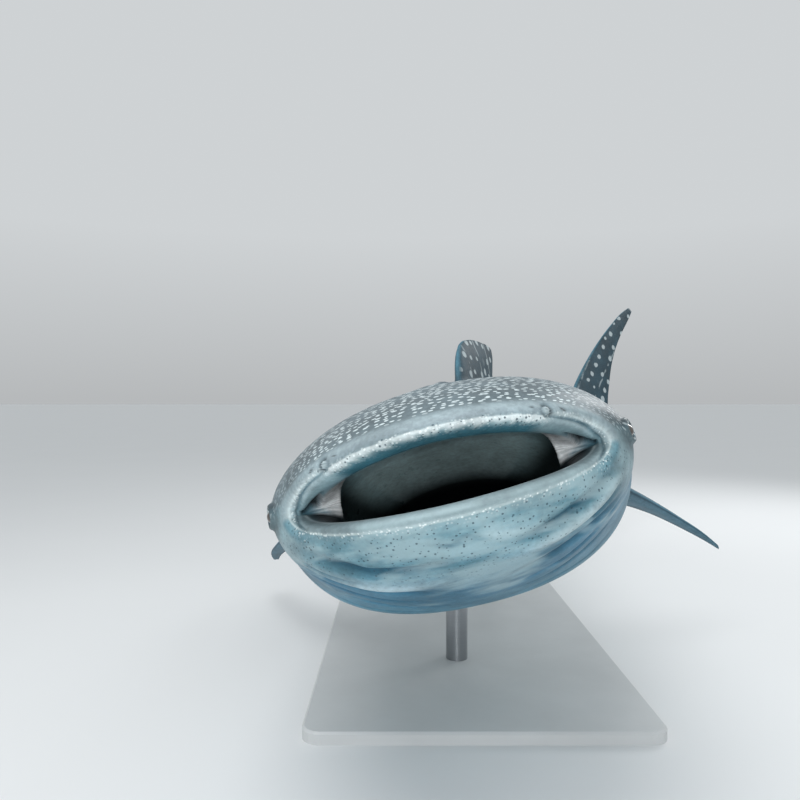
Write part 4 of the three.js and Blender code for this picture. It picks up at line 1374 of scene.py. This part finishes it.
@dataclass(frozen=True)
class SkinFinish:
    """Wet, finely grained shark skin with pale spots and bars, pores and speckles.

    Attributes:
        name: Name of the material.
        spot: Colour of the spots and bars.
        bleach: Colour of the paler patches of the chin.
        pore: Colour of the pores.
        speckle: Colour of the speckles.
        roughness: Roughness before the grain and the shine.
        specular: Strength of the mirror-like share.
        coat: Strength of the wet coat where the skin shines most.
        shine: How much smoother the skin is there.
        spot_size: Radius of a spot as a share of a cell.
        spot_range: How much the sizes of the spots differ.
        spot_warp: How far the spots are shaken off their lattice.
        bar_width: Half width of a bar as a share of a cell.
        pore_scale: Cells of the pores in a metre.
        speckle_scale: Cells of the speckles in a metre.
        denticle_scale: Cells of the fine grain in a metre.
    """

    name: str = "shark_skin"
    spot: Colour = paint(196, 209, 212)
    bleach: Colour = paint(174, 197, 202)
    pore: Colour = paint(36, 62, 76)
    speckle: Colour = paint(232, 240, 240)
    roughness: float = 0.46
    specular: float = 0.2
    coat: float = 0.2
    shine: float = 0.3
    spot_size: float = 0.25
    spot_range: float = 0.12
    spot_warp: float = 0.24
    bar_width: float = 0.055
    pore_scale: float = 88.0
    speckle_scale: float = 110.0
    denticle_scale: float = 520.0

    def spots(self, s: NodeSheet, rest: object, pattern: object, bent: object, behind: object) -> object:
        """Lays the round spots.

        Args:
            s: The node sheet.
            rest: Body coordinates.
            pattern: Cells of the spot pattern.
            bent: The same, shaken.
            behind: Distance behind the snout.

        Returns:
            How much every place belongs to a spot.
        """
        cells = s.cells(bent, 1.0, s.step(behind, 0.4, 1.5, 0.85, 0.42), "2D")
        variety = s.node("SeparateColor", {0: cells.outputs["Color"]}).outputs
        size = s.math("MULTIPLY_ADD", variety[0], self.spot_range, self.spot_size - self.spot_range / 2)
        edge = s.math("MULTIPLY_ADD", s.noise(rest, 70, 3), 0.09, -0.045)
        far = s.math("SUBTRACT", s.math("ADD", cells.outputs["Distance"], edge), size)
        far = s.math("ADD", far, s.node("SeparateXYZ", {0: pattern}).outputs[2])
        return s.math("MULTIPLY", s.step(far, 0.05, -0.03), s.step(variety[1], 0.1, 0.16))

    def bars(self, s: NodeSheet, pattern: object, bent: object, behind: object) -> object:
        """Lays the broken bars across the back.

        Args:
            s: The node sheet.
            pattern: Cells of the spot pattern.
            bent: The same, shaken.
            behind: Distance behind the snout.

        Returns:
            How much every place belongs to a bar.
        """
        along = s.node("SeparateXYZ", {0: bent}).outputs[0]
        gap = s.math("PINGPONG", s.math("ADD", along, 0.5), 1.0)
        bar = s.step(gap, self.bar_width * 2.2, self.bar_width * 0.6)
        broken = s.step(s.noise(pattern, 0.9, 3), 0.47, 0.56)
        return s.math("MULTIPLY", s.math("MULTIPLY", bar, broken), s.step(behind, 0.95, 1.3, 0.0, 0.6))

    def ground(self, s: NodeSheet, rest: object, behind: object) -> object:
        """Mottles the plain colour and bleaches patches of the chin.

        Args:
            s: The node sheet.
            rest: Body coordinates.
            behind: Distance behind the snout.

        Returns:
            The colour under the markings.
        """
        mottle = s.step(s.noise(rest, 6, 6, 0.62), 0.3, 0.7, 0.72, 1.16)
        fine = s.step(s.noise(rest, 75, 4, 0.6), 0.3, 0.7, 0.86, 1.1)
        base = s.tinted(s.attribute("skin_tone", "Color"), s.math("MULTIPLY", mottle, fine))
        streaks = s.node("VectorMath", {0: rest, 1: (0.42, 1.0, 2.2)}, operation="MULTIPLY").outputs[0]
        chin = s.math("MULTIPLY", s.step(s.node("SeparateXYZ", {0: rest}).outputs[2], -0.05, -0.12),
                      s.step(behind, 0.62, 0.4))
        bleached = s.math("MULTIPLY", s.step(s.noise(streaks, 5.2, 4, 0.55), 0.49, 0.66, 0.0, 0.55), chin)
        return s.mix(bleached, base, self.bleach + (1,))

    def pores(self, s: NodeSheet, rest: object) -> object:
        """Lays the pores.

        Args:
            s: The node sheet.
            rest: Body coordinates.

        Returns:
            How much every place belongs to a pore.
        """
        pores = s.cells(rest, self.pore_scale, 0.9)
        variety = s.node("SeparateColor", {0: pores.outputs["Color"]}).outputs[0]
        size = s.math("MULTIPLY_ADD", variety, 0.16, 0.12)
        return s.step(s.math("SUBTRACT", pores.outputs["Distance"], size), 0.05, -0.05)

    def markings(self, s: NodeSheet, rest: object, behind: object) -> object:
        """Joins the spots and the bars.

        Args:
            s: The node sheet.
            rest: Body coordinates.
            behind: Distance behind the snout.

        Returns:
            How pale every place is.
        """
        pattern = s.attribute("pattern", "Vector")
        shaken = s.node("TexNoise", {"Vector": pattern, "Scale": 1.7, "Detail": 2.0}).outputs["Color"]
        offset = s.node("VectorMath", {0: shaken, 1: (0.5, 0.5, 0.5)}, operation="SUBTRACT").outputs[0]
        scaled = s.node("VectorMath", {0: offset, 3: self.spot_warp}, operation="SCALE").outputs[0]
        bent = s.node("VectorMath", {0: pattern, 1: scaled}, operation="ADD").outputs[0]
        spots = self.spots(s, rest, pattern, bent, behind)
        return s.math("MAXIMUM", spots, self.bars(s, pattern, bent, behind))

    def material(self) -> bpy.types.Material:
        """Builds the material.

        Returns:
            The material.
        """
        s = NodeSheet(self.name)
        rest = s.attribute("rest", "Vector")
        behind = s.node("SeparateXYZ", {0: rest}).outputs[1]
        marks = s.node("SeparateColor", {0: s.attribute("marks", "Color")}).outputs
        wet = s.attribute("marks", "Alpha")
        pale = s.math("MULTIPLY", self.markings(s, rest, behind), marks[0], clamp=True)
        pore = s.math("MULTIPLY", self.pores(s, rest), marks[1], clamp=True)
        grain = s.step(s.cells(rest, self.speckle_scale, 1.0).outputs["Distance"], 0.42, 0.2)
        grain = s.math("MULTIPLY", grain, marks[2], clamp=True)
        colour = s.mix(pale, self.ground(s, rest, behind), self.spot + (1,))
        colour = s.mix(s.math("MULTIPLY", pore, 0.8), colour, self.pore + (1,))
        colour = s.mix(s.math("MULTIPLY", grain, 0.9), colour, self.speckle + (1,))
        s.feed(s.shader.inputs["Base Color"], colour)
        gloss = s.math("MULTIPLY_ADD", s.noise(rest, 22, 4), 0.2, self.roughness)
        s.feed(s.shader.inputs["Roughness"], s.math("SUBTRACT", gloss, s.math("MULTIPLY", wet, self.shine)))
        s.shader.inputs["Specular IOR Level"].default_value = self.specular
        s.feed(s.shader.inputs["Coat Weight"], s.math("MULTIPLY", wet, self.coat))
        s.shader.inputs["Coat Roughness"].default_value = 0.25
        folds = s.noise(rest, 26, 6, 0.6)
        denticles = s.cells(rest, self.denticle_scale, 1.0).outputs["Distance"]
        height = s.math("ADD", s.math("MULTIPLY", folds, 1.2), s.math("MULTIPLY", denticles, 0.14))
        s.roughen(s.math("SUBTRACT", height, s.math("MULTIPLY", pore, 0.5)), 0.35, 0.004)
        return s.material


@dataclass(frozen=True)
class EyeFinish:
    """A small wet eye with a dark round pupil, a mottled iris and a dark rim.

    Attributes:
        name: Name of the material.
        white: Colour outside the iris.
        iris: Colour of the iris.
        pupil: Colour of the pupil and of the rim of the iris.
        roughness: Roughness of the eyeball.
    """

    name: str = "shark_eye"
    white: Colour = paint(58, 66, 68)
    iris: Colour = paint(64, 52, 42)
    pupil: Colour = (0.004, 0.005, 0.006)
    roughness: float = 0.08

    def material(self) -> bpy.types.Material:
        """Builds the material.

        Returns:
            The material.
        """
        s = NodeSheet(self.name)
        gaze = s.attribute("gaze", "Fac")
        rays = s.math("MULTIPLY_ADD", s.noise(s.attribute("rest", "Vector"), 260, 4), 0.9, 0.5)
        iris = s.tinted(self.iris + (1,), rays)
        colour = s.mix(s.step(gaze, 0.36, 0.42), self.pupil + (1,), iris)
        colour = s.mix(s.step(gaze, 0.66, 0.74), colour, self.white + (1,))
        rim = s.step(s.math("ABSOLUTE", s.math("SUBTRACT", gaze, 0.68)), 0.05, 0.0)
        s.feed(s.shader.inputs["Base Color"], s.mix(rim, colour, self.pupil + (1,)))
        s.shader.inputs["Roughness"].default_value = self.roughness
        s.shader.inputs["Coat Weight"].default_value = 1.0
        s.shader.inputs["Coat Roughness"].default_value = 0.03
        return s.material


@dataclass
class SharkEye:
    """One eyeball with its cornea.

    Attributes:
        side: The side of the eye.
        axis: The bent line of the body.
        centre: Distance from the middle plane, behind the snout and over the eye line.
        look: Direction in which the left eye looks.
        radius: Radius of the eyeball.
        cornea: How far the cornea stands out.
        cornea_angle: Angle from the gaze at which the cornea ends.
        rear: Depth of the hidden rear half as a share of its radius.
        gaze_reach: Angle from the gaze at which the gaze attribute is 1.
    """

    side: Side
    axis: BodyAxis = field(default_factory=BodyAxis)
    centre: Point = EYE_PLACE
    look: Point = (1, -0.12, -0.02)
    radius: float = 0.0255
    cornea: float = 0.0022
    cornea_angle: float = 42.0
    rear: float = 0.55
    gaze_reach: float = 60.0

    def build(self) -> bpy.types.Object:
        """Builds the eye, looking out to its side and a little ahead.

        Returns:
            The eye.
        """
        m = self.side.value
        gaze = Vector((self.look[0] * m, self.look[1], self.look[2])).normalized()
        bpy.ops.object.select_all(action="DESELECT")
        bpy.ops.mesh.primitive_uv_sphere_add(segments=48, ring_count=32, radius=self.radius)
        eye = bpy.context.object
        eye.name = eye.data.name = f"eyeball_{self.side.name.lower()}"
        turn = Vector((0, 0, 1)).rotation_difference(gaze).to_matrix()
        centre = np.array([self.centre[0] * m, self.centre[1], self.centre[2]])
        local = vertices_of(eye)
        tilt = np.degrees(np.arccos(np.clip(local[:, 2] / self.radius, -1, 1)))
        swell = 1 + self.cornea / self.radius * ramp(self.cornea_angle, self.cornea_angle * 0.3, tilt)
        shaped = local * swell[:, None]
        shaped[:, 2] *= np.where(tilt > 90, self.rear, 1.0)
        straight = shaped @ np.array(turn).T + centre
        store(eye, "gaze", "FLOAT", "value", tilt / self.gaze_reach)
        store(eye, "rest", "FLOAT_VECTOR", "vector", straight)
        eye.data.vertices.foreach_set("co", self.axis.place(straight).ravel())
        eye.data.update()
        only(eye)
        bpy.ops.object.mode_set(mode="EDIT")
        bpy.ops.mesh.select_all(action="SELECT")
        bpy.ops.mesh.normals_make_consistent(inside=False)
        bpy.ops.object.mode_set(mode="OBJECT")
        bpy.ops.object.shade_smooth()
        return eye


@dataclass(frozen=True)
class BoardFinish:
    """Satin paint on the stand's board, with a faint roller texture.

    Attributes:
        name: Name of the material.
        colour: Colour of the paint.
        roughness: Middle roughness.
    """

    name: str = "board_paint"
    colour: Colour = paint(196, 199, 200)
    roughness: float = 0.42

    def material(self) -> bpy.types.Material:
        """Builds the material.

        Returns:
            The material.
        """
        s = NodeSheet(self.name)
        place = s.node("TexCoord").outputs["Object"]
        tint = s.math("MULTIPLY_ADD", s.noise(place, 3, 5), 0.22, 0.89)
        gloss = s.math("MULTIPLY_ADD", s.noise(place, 14, 4), 0.16, self.roughness - 0.08)
        s.feed(s.shader.inputs["Base Color"], s.tinted(self.colour + (1,), tint))
        s.feed(s.shader.inputs["Roughness"], gloss)
        s.roughen(s.noise(place, 420, 2), 0.12, 0.001)
        return s.material


@dataclass(frozen=True)
class RodFinish:
    """Turned steel with a fine grain round the rod.

    Attributes:
        name: Name of the material.
        colour: Colour of the steel.
        roughness: Middle roughness.
        grain: Lines of the grain in a metre, side to side and along the rod.
    """

    name: str = "turned_steel"
    colour: Colour = paint(150, 154, 158)
    roughness: float = 0.34
    grain: Point = (3, 3, 420)

    def material(self) -> bpy.types.Material:
        """Builds the material.

        Returns:
            The material.
        """
        s = NodeSheet(self.name)
        place = s.node("TexCoord").outputs["Object"]
        lines = s.node("Mapping", {"Vector": place, "Scale": self.grain}).outputs[0]
        grain = s.noise(lines, 1.0, 4)
        tint = s.math("MULTIPLY_ADD", grain, 0.2, 0.9)
        s.feed(s.shader.inputs["Base Color"], s.tinted(self.colour + (1,), tint))
        s.feed(s.shader.inputs["Roughness"], s.math("MULTIPLY_ADD", grain, 0.2, self.roughness - 0.1))
        s.shader.inputs["Metallic"].default_value = 1.0
        s.roughen(grain, 0.1, 0.0006)
        return s.material


@dataclass
class DisplayStand:
    """The board and the two rods that hold the model.

    Attributes:
        board_nodes: Nodes of the board.
        rod_nodes: Nodes of the rods.
    """

    board_nodes: tuple[str, ...] = ("stand_base",)
    rod_nodes: tuple[str, ...] = ("stand_rod_front", "stand_rod_rear")

    def dress(self) -> None:
        """Paints the board and finishes the rods."""
        for nodes, finish in ((self.board_nodes, BoardFinish()), (self.rod_nodes, RodFinish())):
            made = finish.material()
            for name in nodes:
                node = bpy.data.objects[name]
                node.data.materials.clear()
                node.data.materials.append(made)
        LOG.info("stand: board and two rods")


@dataclass(frozen=True)
class FloorFinish:
    """Plain pale studio floor.

    Attributes:
        name: Name of the material.
        colour: Colour of the floor.
        roughness: Roughness of the floor.
    """

    name: str = "studio_floor"
    colour: Colour = paint(226, 228, 229)
    roughness: float = 0.7

    def material(self) -> bpy.types.Material:
        """Builds the material.

        Returns:
            The material.
        """
        s = NodeSheet(self.name)
        place = s.node("TexCoord").outputs["Object"]
        tint = s.math("MULTIPLY_ADD", s.noise(place, 0.7, 3), 0.03, 0.985)
        s.feed(s.shader.inputs["Base Color"], s.tinted(self.colour + (1,), tint))
        s.shader.inputs["Roughness"].default_value = self.roughness
        return s.material


@dataclass(frozen=True)
class Lamp:
    """A large soft round lamp.

    Attributes:
        name: Name of the lamp.
        place: Where it hangs.
        target: What it faces.
        size: Its diameter.
        power: Its power in watts.
    """

    name: str
    place: Point
    target: Point
    size: float
    power: float

    def build(self) -> None:
        """Hangs the lamp."""
        lamp = bpy.data.objects.new(self.name, bpy.data.lights.new(self.name, "AREA"))
        lamp.data.shape = "DISK"
        lamp.data.size = self.size
        lamp.data.energy = self.power
        lamp.location = self.place
        lamp.rotation_euler = (Vector(self.target) - Vector(self.place)).to_track_quat("-Z", "Y").to_euler()
        bpy.context.scene.collection.objects.link(lamp)


@dataclass
class Studio:
    """Floor, soft light and the camera of the photograph.

    Attributes:
        eye_point: Where the camera stands.
        lens: Focal length in millimetres.
        sensor: Width of the sensor in millimetres.
        floor_size: Side of the square floor.
        backdrop_top: Colour of the backdrop above.
        backdrop_foot: Its colour at the far end of the floor.
        backdrop_fade: Upward share of the view over which the foot fades into the top.
        lamps: The lamps.
    """

    eye_point: Point = (-0.3, -3.65, 1.2)
    lens: float = 32.4
    sensor: float = 36.0
    floor_size: float = 400.0
    backdrop_top: Colour = (0.62, 0.645, 0.66)
    backdrop_foot: Colour = (0.47, 0.485, 0.495)
    backdrop_fade: float = 0.22
    lamps: tuple[Lamp, ...] = (
        Lamp("key_light", (-1.2, -2.6, 5.2), (-0.1, -0.9, 0.9), 3.4, 130),
        Lamp("front_light", (-0.6, -7.2, 1.35), (-0.25, -2.0, 1.02), 2.4, 115),
        Lamp("rear_light", (4.5, 4.0, 4.4), (0.6, 1.4, 1.0), 3.5, 130),
    )

    def build(self) -> None:
        """Sets up the studio."""
        bpy.ops.object.select_all(action="DESELECT")
        bpy.ops.mesh.primitive_plane_add(size=self.floor_size)
        floor = bpy.context.object
        floor.name = floor.data.name = "studio_floor"
        floor.data.materials.append(FloorFinish().material())
        world = bpy.data.worlds.new("studio_world")
        bpy.context.scene.world = world
        world.use_nodes = True
        self.backdrop(world.node_tree)
        for lamp in self.lamps:
            lamp.build()
        self.camera()
        bpy.context.scene.view_settings.view_transform = "Standard"
        LOG.info("studio: floor, lamps and camera")

    def camera(self) -> None:
        """Stands the camera level, facing +Y."""
        camera = bpy.data.objects.new("camera", bpy.data.cameras.new("camera"))
        camera.data.lens = self.lens
        camera.data.sensor_width = self.sensor
        camera.data.clip_end = self.floor_size
        camera.location = self.eye_point
        camera.rotation_euler = (math.radians(90), 0, 0)
        bpy.context.scene.collection.objects.link(camera)
        bpy.context.scene.camera = camera

    def backdrop(self, tree: bpy.types.NodeTree) -> None:
        """Lets the backdrop fade into the far end of the floor.

        Args:
            tree: The world's node tree.
        """
        place = tree.nodes.new("ShaderNodeTexCoord")
        split = tree.nodes.new("ShaderNodeSeparateXYZ")
        fade = tree.nodes.new("ShaderNodeMapRange")
        blend = tree.nodes.new("ShaderNodeMix")
        blend.data_type = "RGBA"
        fade.inputs[2].default_value = self.backdrop_fade
        blend.inputs[6].default_value = self.backdrop_foot + (1,)
        blend.inputs[7].default_value = self.backdrop_top + (1,)
        tree.links.new(place.outputs["Generated"], split.inputs[0])
        tree.links.new(split.outputs[2], fade.inputs[0])
        tree.links.new(fade.outputs[0], blend.inputs[0])
        tree.links.new(blend.outputs[2], tree.nodes["Background"].inputs[0])


def dress_skin() -> None:
    """Builds the skin in place of the nodes of flesh."""
    shark = SharkBody()
    skin = shark.build()
    skin.data.materials.clear()
    skin.data.materials.append(SkinFinish().material())
    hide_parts(*shark.flesh_nodes)
    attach(skin, "root")
    skin.data.calc_loop_triangles()
    LOG.info("skin: %d triangles", len(skin.data.loop_triangles))


def dress_eyes() -> None:
    """Builds both eyes in place of their nodes."""
    finish = EyeFinish().material()
    for side in Side:
        eye = SharkEye(side).build()
        eye.data.materials.append(finish)
        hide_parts(f"eye_{side.name.lower()}")
        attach(eye, "root")
        LOG.info("eye: %s", eye.name)


def main() -> None:
    """Builds and dresses the whole model."""
    logging.basicConfig(level=logging.INFO, format="%(message)s")
    Studio().build()
    dress_skin()
    dress_eyes()
    DisplayStand().dress()


if __name__ == "__main__":
    main()
